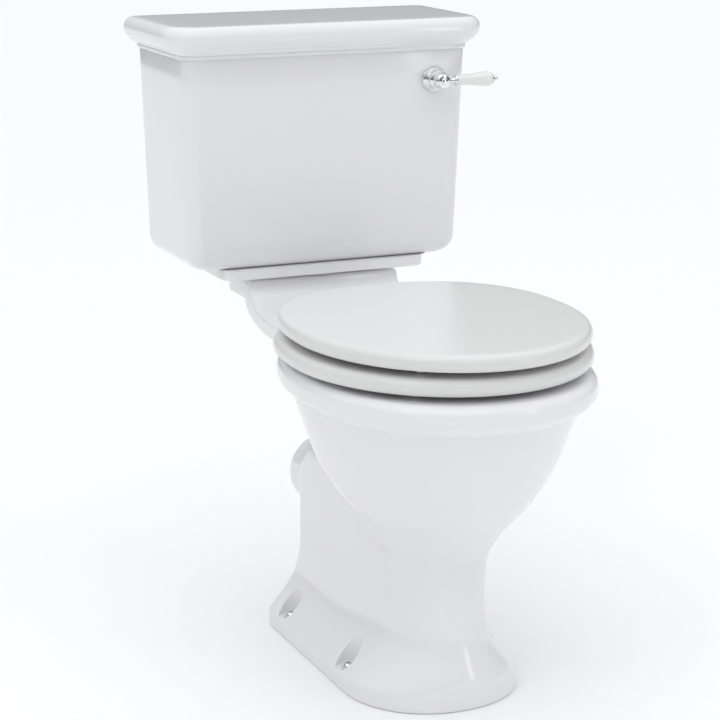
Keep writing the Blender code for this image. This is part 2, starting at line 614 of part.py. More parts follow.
def build_float_valve():
    floor = BODY_BOTTOM + 0.011 + GAP
    axis = (VALVE_X, VALVE_Y)
    profile = [(0.0090, 0.6900), (0.0090, floor + 0.009), (0.0175, floor + 0.008), (0.0175, floor),
               (0.0105, floor), (0.0105, 0.4300)]
    riser = turned("inlet_riser", profile, (0, 0, 1), (*axis, 0), WHITE_PLASTIC, 16)
    drilled(riser, "riser_bore", 0.0060, (*axis, 0.42), (*axis, 0.70), 12)
    nut_top = PLINTH_Z - GAP
    nut = rod("inlet_backnut", 0.0170, (*axis, nut_top - 0.009), (*axis, nut_top), WHITE_PLASTIC, 6)
    drilled(nut, "inlet_nut_bore", 0.0108, (*axis, 0.44), (*axis, 0.49))
    head = box("valve_head", (VALVE_X - 0.014, VALVE_Y - 0.014, 0.6903),
               (VALVE_X + 0.014, VALVE_Y + 0.014, 0.722), BLUE_PLASTIC, 0.002)
    drilled(head, "valve_seat", 0.0062, (*axis, 0.68), (*axis, 0.730), 12)
    post = box("valve_arm_post", (VALVE_X - 0.022, VALVE_Y + 0.018, PIVOT_Z - 0.007),
               (VALVE_X - 0.010, VALVE_Y + 0.021, PIVOT_Z + 0.007))
    bracket = box("valve_bracket", (VALVE_X - 0.022, VALVE_Y + 0.008, PIVOT_Z + 0.003),
                  (VALVE_X - 0.010, VALVE_Y + 0.021, PIVOT_Z + 0.007))
    for piece in (post, bracket):
        combine(head, piece, "UNION")
    pin_axis = (VALVE_X - 0.016, VALVE_Y + 0.0210, PIVOT_Z)
    combine(head, rod("pivot_pin", 0.0025, (pin_axis[0], VALVE_Y + 0.019, PIVOT_Z),
                      (pin_axis[0], VALVE_Y + 0.031, PIVOT_Z), sides=12), "UNION")
    rod("valve_piston", 0.0056, (*axis, 0.700), (*axis, 0.7265), CHROME, 12)
    return pin_axis


def build_float_arm(pin_axis):
    """The arm hangs down from its pivot, as in an empty cistern."""
    turn = Matrix.Translation((pin_axis[0], 0, PIVOT_Z)) @ Matrix.Rotation(-ARM_DROP, 4, "Y")
    y = VALVE_Y + 0.0268
    arm = box("float_arm", (0.0275 - FLOAT_REACH, y - 0.0025, -0.0055), (0.0065, y + 0.0025, 0.0055), BRASS,
              0.001)
    drilled(arm, "arm_bore", 0.0029, (0, y - 0.01, 0), (0, y + 0.01, 0), 12)
    bar = rod("float_rod", 0.0025, (0.032 - FLOAT_REACH, y, 0), (-0.012 - FLOAT_REACH, y, 0), sides=8)
    combine(arm, bar, "UNION")
    profile = [(0.0100, 0.0240), (0.0250, 0.0200), (0.0265, 0.0120), (0.0265, -0.0120), (0.0250, -0.0200),
               (0.0100, -0.0240)]
    ball = turned("float", profile, (0, 0, 1), (-FLOAT_REACH, y, 0), WHITE_PLASTIC, 20)
    socket_ends = (0.04 - FLOAT_REACH, y, 0), (-0.0124 - FLOAT_REACH, y, 0)
    combine(ball, rod("float_socket", 0.0028, *socket_ends, sides=8))
    for obj in (arm, ball, bpy.data.objects["arm_bore"], bpy.data.objects["float_rod"],
                bpy.data.objects["float_socket"]):
        obj.matrix_world = turn @ obj.matrix_world


# ---- Seat ------------------------------------------------------------------------------------------------

TAIL = SEAT_BACK - BOWL_Y
TAIL_POWER = 2.4


def seat_rings(levels):
    return [egg(half, nose, tail, z, TAIL_POWER) for z, half, nose, tail in levels]


def build_seat_ring():
    levels = (
        (RING_BOTTOM, 0.1785, 0.1988, TAIL - 0.003), (RING_BOTTOM + 0.004, 0.1860, 0.2080, TAIL),
        (RING_BOTTOM + 0.010, 0.1895, 0.2135, TAIL), (RING_TOP - 0.004, 0.1865, 0.2110, TAIL - 0.001),
        (RING_TOP, 0.1760, 0.2000, TAIL - 0.006),
    )
    ring = loft("seat_ring", seat_rings(levels), ENAMEL)
    hole = (
        (RING_BOTTOM - 0.01, 0.113, 0.138, 0.122), (RING_BOTTOM + 0.008, 0.113, 0.138, 0.122),
        (RING_TOP - 0.004, 0.117, 0.142, 0.125), (RING_TOP + 0.01, 0.135, 0.160, 0.140),
    )
    combine(ring, loft("seat_hole", [egg(half, nose, tail, z) for z, half, nose, tail in hole]))
    return ring


def build_seat_lid():
    levels = (
        (LID_BOTTOM, 0.1780, 0.2130, TAIL - 0.003), (LID_BOTTOM + 0.003, 0.1815, 0.2168, TAIL),
        (LID_BOTTOM + 0.009, 0.1840, 0.2190, TAIL), (LID_BOTTOM + 0.015, 0.1812, 0.2166, TAIL),
        (LID_BOTTOM + 0.0195, 0.1750, 0.2100, TAIL - 0.005),
        (SEAT_LID_TOP - 0.0006, 0.1660, 0.2005, TAIL - 0.014), (SEAT_LID_TOP, 0.1200, 0.1500, TAIL - 0.070),
    )
    return loft("seat_lid", seat_rings(levels), ENAMEL)


def knuckle(name, x, width, plate_low, plate_high, plate_front):
    """A sleeve on the hinge bar with a plate that is screwed to the seat."""
    sleeve = rod(name, 0.0092, (x - width / 2, HINGE_Y, HINGE_Z), (x + width / 2, HINGE_Y, HINGE_Z), CHROME,
                 14)
    plate = box(name + "_plate", (x - width / 2 + 0.0005, plate_front, plate_low),
                (x + width / 2 - 0.0005, HINGE_Y - 0.004, plate_high))
    combine(sleeve, plate, "UNION")
    return sleeve


def build_hinge():
    bar = rod("hinge_bar", BAR_RADIUS, (-PILLAR_X - 0.016, HINGE_Y, HINGE_Z),
              (PILLAR_X + 0.016, HINGE_Y, HINGE_Z), CHROME, 12)
    for side, sign in (("left", -1), ("right", 1)):
        x = sign * PILLAR_X
        profile = [(0.0070, 0.4625), (0.0110, 0.4595), (0.0115, 0.4520), (0.0110, 0.4445), (0.0080, 0.4400),
                   (0.0080, 0.4300), (0.0130, 0.4275), (0.0135, RIM_TOP + 0.0004), (0.0040, RIM_TOP + 0.0004),
                   (0.0040, 0.3800)]
        pillar = turned(f"hinge_pillar_{side}", profile, (0, 0, 1), (x, HINGE_Y, 0), CHROME, 12)
        drilled(pillar, f"pillar_bore_{side}", BAR_RADIUS + GAP, (x - 0.02, HINGE_Y, HINGE_Z),
                (x + 0.02, HINGE_Y, HINGE_Z), 12)
        top = NECK_BOTTOM - GAP
        nut = rod(f"pillar_nut_{side}", 0.0100, (x, HINGE_Y, top), (x, HINGE_Y, top - 0.007), STEEL, 6)
        drilled(nut, f"pillar_nut_bore_{side}", 0.0044, (x, HINGE_Y, 0.37), (x, HINGE_Y, 0.42), 12)
        ring = knuckle(f"ring_hinge_{side}", sign * 0.0545, 0.018, RING_BOTTOM - GAP - 0.002,
                       RING_BOTTOM - GAP, SEAT_BACK - 0.045)
        riser = box(f"ring_hinge_web_{side}",
                    (sign * 0.0545 - 0.008, SEAT_BACK + 0.0035, RING_BOTTOM - 0.0022),
                    (sign * 0.0545 + 0.008, HINGE_Y - 0.002, HINGE_Z - 0.003))
        lid = knuckle(f"lid_hinge_{side}", sign * 0.0320, 0.018, LID_BOTTOM - GAP - 0.002, LID_BOTTOM - GAP,
                      SEAT_BACK - 0.045)
        combine(ring, riser, "UNION")
        for piece, name in ((ring, "ring"), (lid, "lid")):
            drilled(piece, f"{name}_knuckle_bore_{side}", BAR_RADIUS + GAP, (sign * 0.015, HINGE_Y, HINGE_Z),
                    (sign * 0.07, HINGE_Y, HINGE_Z), 12)
    return bar


def build_bumpers():
    ring_spots = {"rear": (0.140, -0.150), "front": (0.092, -0.420)}
    for side, sign in (("left", -1), ("right", 1)):
        for row, (x, y) in ring_spots.items():
            spot = (sign * x, y, 0)
            profile = [(0.0090, RING_BOTTOM - GAP), (0.0090, RING_BOTTOM - 0.004), (0.0070, RIM_TOP + GAP)]
            turned(f"ring_bumper_{row}_{side}", profile, (0, 0, 1), spot, CLEAR_RUBBER, 14)
        spot = (sign * 0.088, -0.425, 0)
        profile = [(0.0075, LID_BOTTOM - GAP), (0.0075, LID_BOTTOM - 0.004), (0.0060, RING_TOP + GAP)]
        turned(f"lid_bumper_{side}", profile, (0, 0, 1), spot, CLEAR_RUBBER, 14)


build_pan()
build_floor_screws()
build_cistern()
build_lever()
build_crank()
build_siphon()
build_siphon_rod()
build_coupling_bolts()
build_float_arm(build_float_valve())
build_seat_ring()
build_seat_lid()
build_hinge()
build_bumpers()
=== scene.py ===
"""Looks of the close coupled toilet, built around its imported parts.

Metres, +Z up. The front faces -Y, the wall is at +Y and the flush lever is on +X.
"""

import math

import bmesh
import bpy
from mathutils import Matrix, Vector


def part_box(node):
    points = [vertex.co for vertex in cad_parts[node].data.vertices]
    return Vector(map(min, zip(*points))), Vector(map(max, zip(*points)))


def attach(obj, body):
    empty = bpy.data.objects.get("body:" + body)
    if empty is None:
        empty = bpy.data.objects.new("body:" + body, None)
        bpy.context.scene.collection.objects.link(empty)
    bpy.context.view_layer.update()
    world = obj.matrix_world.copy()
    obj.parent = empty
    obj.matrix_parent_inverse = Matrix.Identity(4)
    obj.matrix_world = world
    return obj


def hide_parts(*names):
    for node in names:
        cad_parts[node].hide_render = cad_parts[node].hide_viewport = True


bl_info = {
    "name": "Close Coupled Toilet",
    "version": (1, 0, 0),
    "blender": (4, 5, 0),
    "location": "View3D > Sidebar > Toilet",
    "description": "Models and finishes each piece of a close coupled toilet around its frame",
    "category": "Object",
}

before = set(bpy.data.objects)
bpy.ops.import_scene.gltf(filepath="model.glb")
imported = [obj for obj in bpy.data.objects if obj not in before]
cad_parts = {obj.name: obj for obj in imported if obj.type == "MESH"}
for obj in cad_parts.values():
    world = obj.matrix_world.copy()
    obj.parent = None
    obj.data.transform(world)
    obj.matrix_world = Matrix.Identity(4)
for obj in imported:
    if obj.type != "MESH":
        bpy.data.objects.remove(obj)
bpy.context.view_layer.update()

GAP = 0.0003
SMOOTH_ANGLE = math.radians(38)
CHINA_ANGLE = math.radians(34)

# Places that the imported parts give
PAN_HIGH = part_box("pan_bowl")[1]
SHELF_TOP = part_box("close_coupling_washer")[0].z - GAP
INLET_LOW, INLET_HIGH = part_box("inlet_riser")
BODY_LOW, BODY_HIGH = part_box("cistern_body")
LID_LOW, LID_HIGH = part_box("cistern_lid")
SEAT_LOW, SEAT_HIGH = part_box("seat_lid")
RING_LOW, RING_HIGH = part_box("seat_ring")
ROSE_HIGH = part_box("lever_rose")[1]
BOSS_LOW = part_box("lever_boss_and_spindle")[0]
GRIP_LOW, GRIP_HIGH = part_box("lever_grip")
HINGE_LOW, HINGE_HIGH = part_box("hinge_bar")

# Places that several pieces share
BOWL_CENTRE = -0.2765
COUPLING_Y = 0.1165
COUPLING_BOLT_X = 0.075
OUTLET_Z = 0.187
HINGE_Y = -0.058
HINGE_Z = 0.452
HINGE_BORE = 0.0053
PILLAR_X = 0.0775
LEVER_X = 0.1527
LEVER_Z = 0.7246
GRIP_Y = 0.030
RIM_Z = 0.4232
POCKET_FLOOR = 0.0240


# ---- Sizes and colours that a user would change ----------------------------------------------

def length(name, text, default):
    return bpy.props.FloatProperty(
        name=name, description=text, default=default, unit="LENGTH", subtype="DISTANCE"
    )


def colour(name, text, default):
    return bpy.props.FloatVectorProperty(
        name=name, description=text, default=default, size=3, min=0.0, max=1.0, subtype="COLOR"
    )


class ToiletSizes(bpy.types.PropertyGroup):
    bowl_centre: length("Bowl centre", "Where along Y the bowl is widest", BOWL_CENTRE)
    fillet: length("Fillet", "How softly the bowl runs into the pedestal", 0.022)
    seat_edge: length("Seat edge", "Depth of the rounded edge of the seat lid", 0.009)


class ToiletColours(bpy.types.PropertyGroup):
    glaze: colour("Glaze", "White vitreous china", (0.665, 0.665, 0.70))
    enamel: colour("Seat enamel", "Sprayed paint of the wooden seat", (0.76, 0.76, 0.755))
    chrome: colour("Chrome", "Plated brass of the lever and hinge", (0.62, 0.63, 0.65))
    porcelain: colour("Grip porcelain", "White china of the lever's grip", (0.86, 0.86, 0.85))
    brass: colour("Brass", "Plain brass inside the cistern", (0.62, 0.44, 0.18))
    floor: colour("Floor", "The plain pale floor", (0.95, 0.95, 0.95))


# ---- Modelling helpers -----------------------------------------------------------------------

def deselect():
    if bpy.context.object and bpy.context.object.mode != "OBJECT":
        bpy.ops.object.mode_set(mode="OBJECT")
    bpy.ops.object.select_all(action="DESELECT")


def activate(obj):
    deselect()
    obj.select_set(True)
    bpy.context.view_layer.objects.active = obj


def edit(obj):
    activate(obj)
    bpy.ops.object.mode_set(mode="EDIT")
    return bmesh.from_edit_mesh(obj.data)


def leave():
    bpy.ops.object.mode_set(mode="OBJECT")


def named(name):
    """The primitive just added, with its place moved into its mesh."""
    obj = bpy.context.object
    obj.name = obj.data.name = name
    bpy.ops.object.transform_apply(location=True, rotation=True, scale=True)
    return obj


def apply(obj, kind, **settings):
    """Adds a modifier and applies it."""
    activate(obj)
    modifier = obj.modifiers.new(kind.lower(), kind)
    for key, value in settings.items():
        setattr(modifier, key, value)
    bpy.ops.object.modifier_apply(modifier=modifier.name)
    return obj


def smooth(obj, angle=SMOOTH_ANGLE):
    activate(obj)
    bpy.ops.object.shade_smooth_by_angle(angle=angle)
    return obj


def rounded(obj, width, segments=3, angle=math.radians(30)):
    return apply(obj, "BEVEL", width=width, segments=segments, limit_method="ANGLE", angle_limit=angle)


def subdivided(obj, levels=2):
    return apply(obj, "SUBSURF", levels=levels, render_levels=levels)


def join_into(obj, others, operation="UNION"):
    """Unites other solids with this one, or cuts them out of it, and removes them."""
    for other in others:
        apply(obj, "BOOLEAN", operation=operation, solver="EXACT", object=other)
        bpy.data.objects.remove(other)
    return obj


def shaped(obj, ring, points):
    """Moves the vertices with these indices onto the points."""
    shape = bmesh.from_edit_mesh(obj.data)
    shape.verts.ensure_lookup_table()
    for index, point in zip(ring, points):
        shape.verts[index].co = point
    bmesh.update_edit_mesh(obj.data)


def extruded_from(obj, ring):
    """The indices of the vertices that the last extrusion drew out of these, in the same order."""
    shape = bmesh.from_edit_mesh(obj.data)
    shape.verts.ensure_lookup_table()
    return [
        next(other.index for other in (edge.other_vert(shape.verts[i]) for edge in shape.verts[i].link_edges)
             if other.select)
        for i in ring
    ]


def stack(name, rings, levels=2):
    """A closed skin: a circle is set on the first ring and extruded through the others, then subdivided."""
    deselect()
    bpy.ops.mesh.primitive_circle_add(vertices=len(rings[0]), radius=1.0, fill_type="NGON")
    obj = named(name)
    edit(obj)
    ring = list(range(len(rings[0])))
    shaped(obj, ring, rings[0])
    for points in rings[1:]:
        bpy.ops.mesh.extrude_region_move()
        ring = extruded_from(obj, ring)
        shaped(obj, ring, points)
    bpy.ops.mesh.select_all(action="SELECT")
    bpy.ops.mesh.normals_make_consistent(inside=False)
    leave()
    if levels:
        subdivided(obj, levels)
    return obj


def pointing(axis, centre):
    """The matrix that turns +Z onto an axis and moves the origin to the centre."""
    turn = Vector((0, 0, 1)).rotation_difference(Vector(axis)).to_matrix().to_4x4()
    return Matrix.Translation(centre) @ turn


def spun(name, outline, axis, centre, steps=40, bevel=0.0, segments=3):
    """A solid of revolution: the closed outline of (radius, height) points is spun round its axis."""
    deselect()
    bpy.ops.mesh.primitive_circle_add(vertices=len(outline), radius=1.0, fill_type="NOTHING")
    obj = named(name)
    edit(obj)
    shaped(obj, range(len(outline)), [(r, 0, h) for r, h in outline])
    bpy.ops.mesh.select_all(action="SELECT")
    bpy.ops.mesh.spin(steps=steps, angle=2 * math.pi, center=(0, 0, 0), axis=(0, 0, 1))
    bpy.ops.mesh.select_all(action="SELECT")
    bpy.ops.mesh.remove_doubles(threshold=0.00002)
    bpy.ops.mesh.dissolve_degenerate(threshold=0.00001)
    bpy.ops.mesh.normals_make_consistent(inside=False)
    leave()
    if bevel:
        rounded(obj, bevel, segments)
    obj.matrix_world = pointing(axis, centre)
    activate(obj)
    bpy.ops.object.transform_apply(location=True, rotation=True, scale=True)
    return smooth(obj)


def bar(name, radius, start, end, sides=32, bevel=0.0):
    """A round bar between two points."""
    start, end = Vector(start), Vector(end)
    length_ = (end - start).length
    outline = [(0.0, 0.0), (radius, 0.0), (radius, length_), (0.0, length_)]
    return spun(name, outline, (end - start).normalized(), start, sides, bevel)


def block(name, low, high, bevel=0.0, segments=3):
    """A cuboid with softened edges."""
    deselect()
    low, high = Vector(low), Vector(high)
    bpy.ops.mesh.primitive_cube_add(size=1.0, location=(low + high) / 2, scale=high - low)
    obj = named(name)
    if bevel:
        rounded(obj, bevel, segments)
    return smooth(obj)


def side_profile(name, outline, half_width, bevel=0.0):
    """A closed side view of (y, z) points, extruded to both sides of the centre plane."""
    deselect()
    bpy.ops.mesh.primitive_circle_add(vertices=len(outline), radius=1.0, fill_type="NGON")
    obj = named(name)
    edit(obj)
    shaped(obj, range(len(outline)), [(-half_width, y, z) for y, z in outline])
    bpy.ops.mesh.select_all(action="SELECT")
    bpy.ops.mesh.extrude_region_move(TRANSFORM_OT_translate={"value": (2 * half_width, 0, 0)})
    bpy.ops.mesh.select_all(action="SELECT")
    bpy.ops.mesh.normals_make_consistent(inside=False)
    leave()
    if bevel:
        rounded(obj, bevel, 4, math.radians(50))
    return obj


def pipe(name, radius, points, resolution=8):
    """A round pipe along a smooth curve through the points."""
    deselect()
    bpy.ops.curve.primitive_nurbs_path_add()
    guide = bpy.context.object
    guide.name = name
    curve = guide.data
    curve.splines.clear()
    spline = curve.splines.new("NURBS")
    spline.points.add(len(points) - 1)
    for control, point in zip(spline.points, points):
        control.co = (*point, 1.0)
    spline.order_u = 4
    spline.use_endpoint_u = True
    curve.bevel_depth = radius
    curve.bevel_resolution = resolution
    curve.use_fill_caps = True
    curve.resolution_u = 6
    activate(guide)
    bpy.ops.object.convert(target="MESH")
    obj = named(name)
    edit(obj)
    bpy.ops.mesh.select_all(action="SELECT")
    bpy.ops.mesh.remove_doubles(threshold=0.00001)
    bpy.ops.mesh.normals_make_consistent(inside=False)
    leave()
    return obj


def finished(obj, look, body, slot, *nodes):
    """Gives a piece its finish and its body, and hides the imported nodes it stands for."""
    obj.data.materials.clear()
    obj.data.materials.append(look)
    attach(obj, body)
    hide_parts(*nodes)
    return obj


# ---- Outlines --------------------------------------------------------------------------------

def quarter(half, reach, power, steps):
    """Points of a superellipse's quarter, from (half, 0) to (0, reach)."""
    angles = [math.pi / 2 * i / steps for i in range(steps + 1)]
    return [(half * math.cos(a) ** (2 / power), reach * math.sin(a) ** (2 / power)) for a in angles]


def egg(half, nose, tail, z, middle, power=2.0, steps=12):
    """A plan outline: half an ellipse in front and half a superellipse behind the widest point."""
    back = quarter(half, tail, power, steps)
    front = quarter(half, nose, 2.0, steps)
    right = [(x, middle + y) for x, y in back]
    left = [(-x, middle + y) for x, y in reversed(back[:-1])]
    under = [(-x, middle - y) for x, y in front[1:]]
    close = [(x, middle - y) for x, y in reversed(front[1:-1])]
    return [(x, y, z) for x, y in right + left + under + close]


def rounded_rectangle(half, front, back, front_radius, z, back_radius=0.005, steps=6, straight=4):
    """A plan rectangle with round corners and points along its straight sides."""
    corners = ((1, 1, 0), (-1, 1, 90), (-1, -1, 180), (1, -1, 270))
    arcs = []
    for side, end, start in corners:
        radius = back_radius if end > 0 else front_radius
        centre = Vector((side * (half - radius), back - radius if end > 0 else front + radius))
        arcs.append([
            centre + radius * Vector((math.cos(a), math.sin(a)))
            for a in (math.radians(start + 90 * i / steps) for i in range(steps + 1))
        ])
    outline = []
    for this, following in zip(arcs, arcs[1:] + arcs[:1]):
        outline += this
        outline += [this[-1].lerp(following[0], i / straight) for i in range(1, straight)]
    return [(x, y, z) for x, y in outline]


def between(levels, z):
    """Each value of a table of (height, values...) at a height, on a smooth curve through its rows."""
    last = len(levels) - 1
    i = max(0, min(last - 1, next((k for k in range(last) if levels[k + 1][0] >= z), last - 1)))
    low, high = levels[i], levels[i + 1]
    span = high[0] - low[0]
    t = min(1.0, max(0.0, (z - low[0]) / span))
    before, after = levels[max(0, i - 1)], levels[min(last, i + 2)]
    found = []
    for k in range(1, len(low)):
        slope_in = (high[k] - before[k]) / (high[0] - before[0]) * span
        slope_out = (after[k] - low[k]) / (after[0] - low[0]) * span
        found.append(
            (2 * t**3 - 3 * t**2 + 1) * low[k] + (t**3 - 2 * t**2 + t) * slope_in
            + (3 * t**2 - 2 * t**3) * high[k] + (t**3 - t**2) * slope_out
        )
    return found


# ---- Pan -------------------------------------------------------------------------------------

# Height, half width, reach in front of and behind the widest point of the bowl, from its base up
BOWL_LEVELS = (
    (0.185, 0.0540, 0.0660, 0.057), (0.198, 0.0660, 0.0820, 0.062), (0.211, 0.0790, 0.0975, 0.078),
    (0.227, 0.0920, 0.1130, 0.110), (0.2525, 0.1126, 0.1390, 0.148), (0.286, 0.1330, 0.1640, 0.177),
    (0.318, 0.1480, 0.1830, 0.185), (0.345, 0.1570, 0.1940, 0.192), (0.370, 0.1640, 0.2030, 0.206),
    (0.3835, 0.1675, 0.2075, 0.201), (0.3861, 0.1690, 0.2093, 0.200), (0.3880, 0.1725, 0.2135, 0.202),
    (0.3910, 0.1770, 0.2190, 0.206), (0.398, 0.1825, 0.2260, 0.214), (0.410, 0.1850, 0.2286, 0.222),
    (0.4175, 0.1830, 0.2266, 0.221), (0.4215, 0.1785, 0.2221, 0.2165), (0.4233, 0.1735, 0.2171, 0.2115),
    (0.4235, 0.1700, 0.2136, 0.208),
)
# Height, half width at the back and at the front, nose, shoulder and back of the pedestal
BASE_LEVELS = (
    (0.0, 0.1135, 0.1135, 0.1170, -0.2547, 0.0065), (0.0015, 0.1148, 0.1148, 0.1183, -0.2547, 0.0078),
    (0.004, 0.1150, 0.1150, 0.1185, -0.2547, 0.0080), (0.0226, 0.1150, 0.1150, 0.1185, -0.2547, 0.0080),
    (0.0236, 0.1147, 0.1147, 0.1182, -0.2547, 0.0080), (0.0246, 0.1138, 0.1137, 0.1174, -0.2556, 0.0080),
    (0.0345, 0.1058, 0.1050, 0.1140, -0.2580, 0.0080), (0.0499, 0.0925, 0.0915, 0.1050, -0.2620, 0.0080),
    (0.0655, 0.0810, 0.0800, 0.0950, -0.2660, 0.0080), (0.0820, 0.0745, 0.0700, 0.0852, -0.2706, 0.0080),
    (0.1050, 0.0690, 0.0632, 0.0771, -0.2765, 0.0080), (0.1350, 0.0684, 0.0615, 0.0750, -0.2765, 0.0080),
    (0.1750, 0.0684, 0.0640, 0.0780, -0.2765, 0.0080), (0.2000, 0.0684, 0.0684, 0.0820, -0.2765, 0.0080),
    (0.2250, 0.0674, 0.0674, 0.0820, -0.2765, 0.0030), (0.2450, 0.0635, 0.0635, 0.0780, -0.2765, -0.0110),
    (0.2620, 0.0550, 0.0550, 0.0700, -0.2765, -0.0290), (0.2750, 0.0440, 0.0440, 0.0600, -0.2765, -0.0460),
    (0.2850, 0.0310, 0.0310, 0.0500, -0.2765, -0.0620), (0.2915, 0.0150, 0.0150, 0.0300, -0.2765, -0.0760),
)
PAN_HEIGHTS = (
    0.0, 0.0015, 0.004, 0.0130, 0.0224, 0.0236, 0.0246, 0.0290, 0.0370, 0.0450, 0.0540, 0.0640, 0.0740,
    0.0850, 0.0980, 0.1140, 0.1320, 0.1500, 0.1660, 0.1800, 0.1900, 0.1980, 0.2060, 0.2140, 0.2230, 0.2330,
    0.2430, 0.2530, 0.2630, 0.2730, 0.2830, 0.2920, 0.3020, 0.3160, 0.3320, 0.3480, 0.3620, 0.3740, 0.3820,
    0.3852, 0.3868, 0.3885, 0.3915, 0.3965, 0.4030, 0.4100, 0.4160, 0.4200, 0.4222, 0.4233, 0.4235,
)
NOSE_POWER = 2.15


def bowl_distance(x, y, values, middle, power):
    """How far a point lies outside the bowl's plan, an oval with its own reach in front and behind."""
    half, nose, tail = values
    reach = nose if y < middle else tail
    norm = (abs(x / half) ** power + abs((y - middle) / reach) ** power) ** (1 / power)
    return (norm - 1) * min(half, reach)


def base_distance(x, y, values):
    """How far a point lies outside the pedestal's plan, which has straight sides and a rounded nose."""
    rear, front, nose, shoulder, back = values
    if y < shoulder:
        norm = (abs(x / front) ** NOSE_POWER + abs((y - shoulder) / nose) ** NOSE_POWER) ** (1 / NOSE_POWER)
        return (norm - 1) * min(front, nose)
    half = front + (rear - front) * min(1.0, (y - shoulder) / 0.1)
    radius = min(0.009, 0.3 * half)
    side, end = abs(x) - half + radius, y - back + radius
    return math.hypot(max(side, 0), max(end, 0)) + min(max(side, end), 0) - radius


def pan_section(z, middle, fillet):
    """The plan outline of bowl and pedestal together, with a soft fillet where they meet."""
    bowl = between(BOWL_LEVELS, z) if z > BOWL_LEVELS[0][0] else None
    base = between(BASE_LEVELS, z) if z < BASE_LEVELS[-1][0] else None
    power = 2.0 + 0.2 * min(1.0, max(0.0, (z - 0.36) / 0.03))
    soft = fillet * min(1.0, max(0.05, (z - 0.165) / 0.03))

    def distance(x, y):
        if base is None:
            return bowl_distance(x, y, bowl, middle, power)
        if bowl is None:
            return base_distance(x, y, base)
        a, b = bowl_distance(x, y, bowl, middle, power), base_distance(x, y, base)
        h = min(1.0, max(0.0, 0.5 + 0.5 * (b - a) / soft))
        return b + (a - b) * h - soft * h * (1 - h)

    back = max(middle + bowl[2] if bowl else -1.0, base[4] if base else -1.0)
    spine = back - 0.045
    half = base[0] if base and (not bowl or middle + bowl[2] < base[4]) else bowl[0] * 0.45
    fan = [math.radians(-90 + 7.5 * i) for i in range(13)]
    rays = [((0, middle), (math.cos(a), math.sin(a))) for a in fan]
    rays += [((0, middle + (spine - middle) * i / 10), (1, 0)) for i in range(1, 11)]
    corner = (half, back)
    targets = ((1.0, -0.016), (1.0, -0.007), (0.985, -0.0015), (0.94, 0.0), (0.75, 0.0), (0.38, 0.0),
               (0.0, 0.0))
    rays += [((0, spine), (corner[0] * u, corner[1] + v - spine)) for u, v in targets]
    right = []
    for (ox, oy), (dx, dy) in rays:
        size = math.hypot(dx, dy)
        dx, dy = dx / size, dy / size
        low, high = 0.0, 0.45
        for _ in range(36):
            reach = (low + high) / 2
            if distance(ox + dx * reach, oy + dy * reach) < 0:
                low = reach
            else:
                high = reach
        right.append((ox + dx * low, oy + dy * low))
    left = [(-x, y) for x, y in reversed(right[1:-1])]
    return [(x, y, z) for x, y in right + left]


def pan_neck():
    """The deck behind the rim, which sweeps up into the shelf under the cistern."""
    shelf, back, rim = SHELF_TOP, PAN_HIGH.y, RIM_Z
    top = [(0.012 + 0.0655 * math.cos(a), shelf + (shelf - rim) * math.sin(a))
           for a in (math.radians(-90 + 7.5 * i) for i in range(13))]
    under = [(-0.010 + 0.104 * math.cos(a), 0.4345 + 0.0355 * math.sin(a))
             for a in (math.radians(-10 * i) for i in range(10))]
    outline = [(-0.10, rim), *top, (back, shelf), (back, 0.4345), *under, (-0.10, 0.399)]
    return side_profile("pan_neck", outline, 0.110, 0.005)


def basin(middle):
    """The hollow of the bowl with its rolled mouth, open flushing rim and sump."""
    levels = (
        (0.4300, 0.1270, 0.1650, 0.149), (0.4236, 0.1270, 0.1650, 0.149), (0.4225, 0.1235, 0.1615, 0.1455),
        (0.4200, 0.1205, 0.1585, 0.1425), (0.4160, 0.1185, 0.1565, 0.1405), (0.4050, 0.1180, 0.1560, 0.140),
        (0.3900, 0.1180, 0.1560, 0.140), (0.3850, 0.1185, 0.1565, 0.1405), (0.3840, 0.1220, 0.1605, 0.144),
        (0.3850, 0.1260, 0.1650, 0.148), (0.3900, 0.1275, 0.1670, 0.150), (0.4040, 0.1300, 0.1700, 0.152),
        (0.4080, 0.1350, 0.1750, 0.157), (0.4080, 0.1540, 0.1950, 0.176), (0.4020, 0.1590, 0.2000, 0.182),
        (0.3800, 0.1540, 0.1910, 0.182), (0.3450, 0.1450, 0.1820, 0.178), (0.3100, 0.1320, 0.1660, 0.168),
        (0.2700, 0.1120, 0.1400, 0.140), (0.2350, 0.0850, 0.1060, 0.100), (0.2050, 0.0560, 0.0720, 0.064),
        (0.1700, 0.0420, 0.0500, 0.050), (0.1400, 0.0380, 0.0430, 0.047), (0.1250, 0.0340, 0.0380, 0.043),
    )
    return stack("basin", [egg(half, nose, tail, z, middle) for z, half, nose, tail in levels])


TRAP_ROUTE = ((0, -0.262, 0.150), (0, -0.225, 0.112), (0, -0.160, 0.118), (0, -0.118, 0.190),
              (0, -0.070, 0.242), (0, -0.012, 0.222), (0, 0.030, OUTLET_Z), (0, 0.083, OUTLET_Z))
CHANNEL_ROUTE = ((0, COUPLING_Y, 0.450), (0, COUPLING_Y, 0.415), (0, 0.070, 0.385), (0, 0.0, 0.378),
                 (0, -0.085, 0.385))
TRAP_BORE_END = (0, 0.103, OUTLET_Z)
CHANNEL_BORE_END = (0, -0.105, 0.396)
TRAP_RADIUS = 0.050
TRAP_BORE = 0.038
CHANNEL_RADIUS = 0.031
CHANNEL_BORE = 0.020
PAN_SPIGOT_END = 0.083
SCREW_SPOTS = ((0.099, -0.0426), (0.099, -0.2400))
BOLT_HOLE = 0.007
INLET_SEAT = 0.034
POCKET_RADIUS = 0.0172
POCKET_MOUTH_RADIUS = 0.0171
POCKET_LEAN = 0.044
SCREW_HOLE = 0.0035


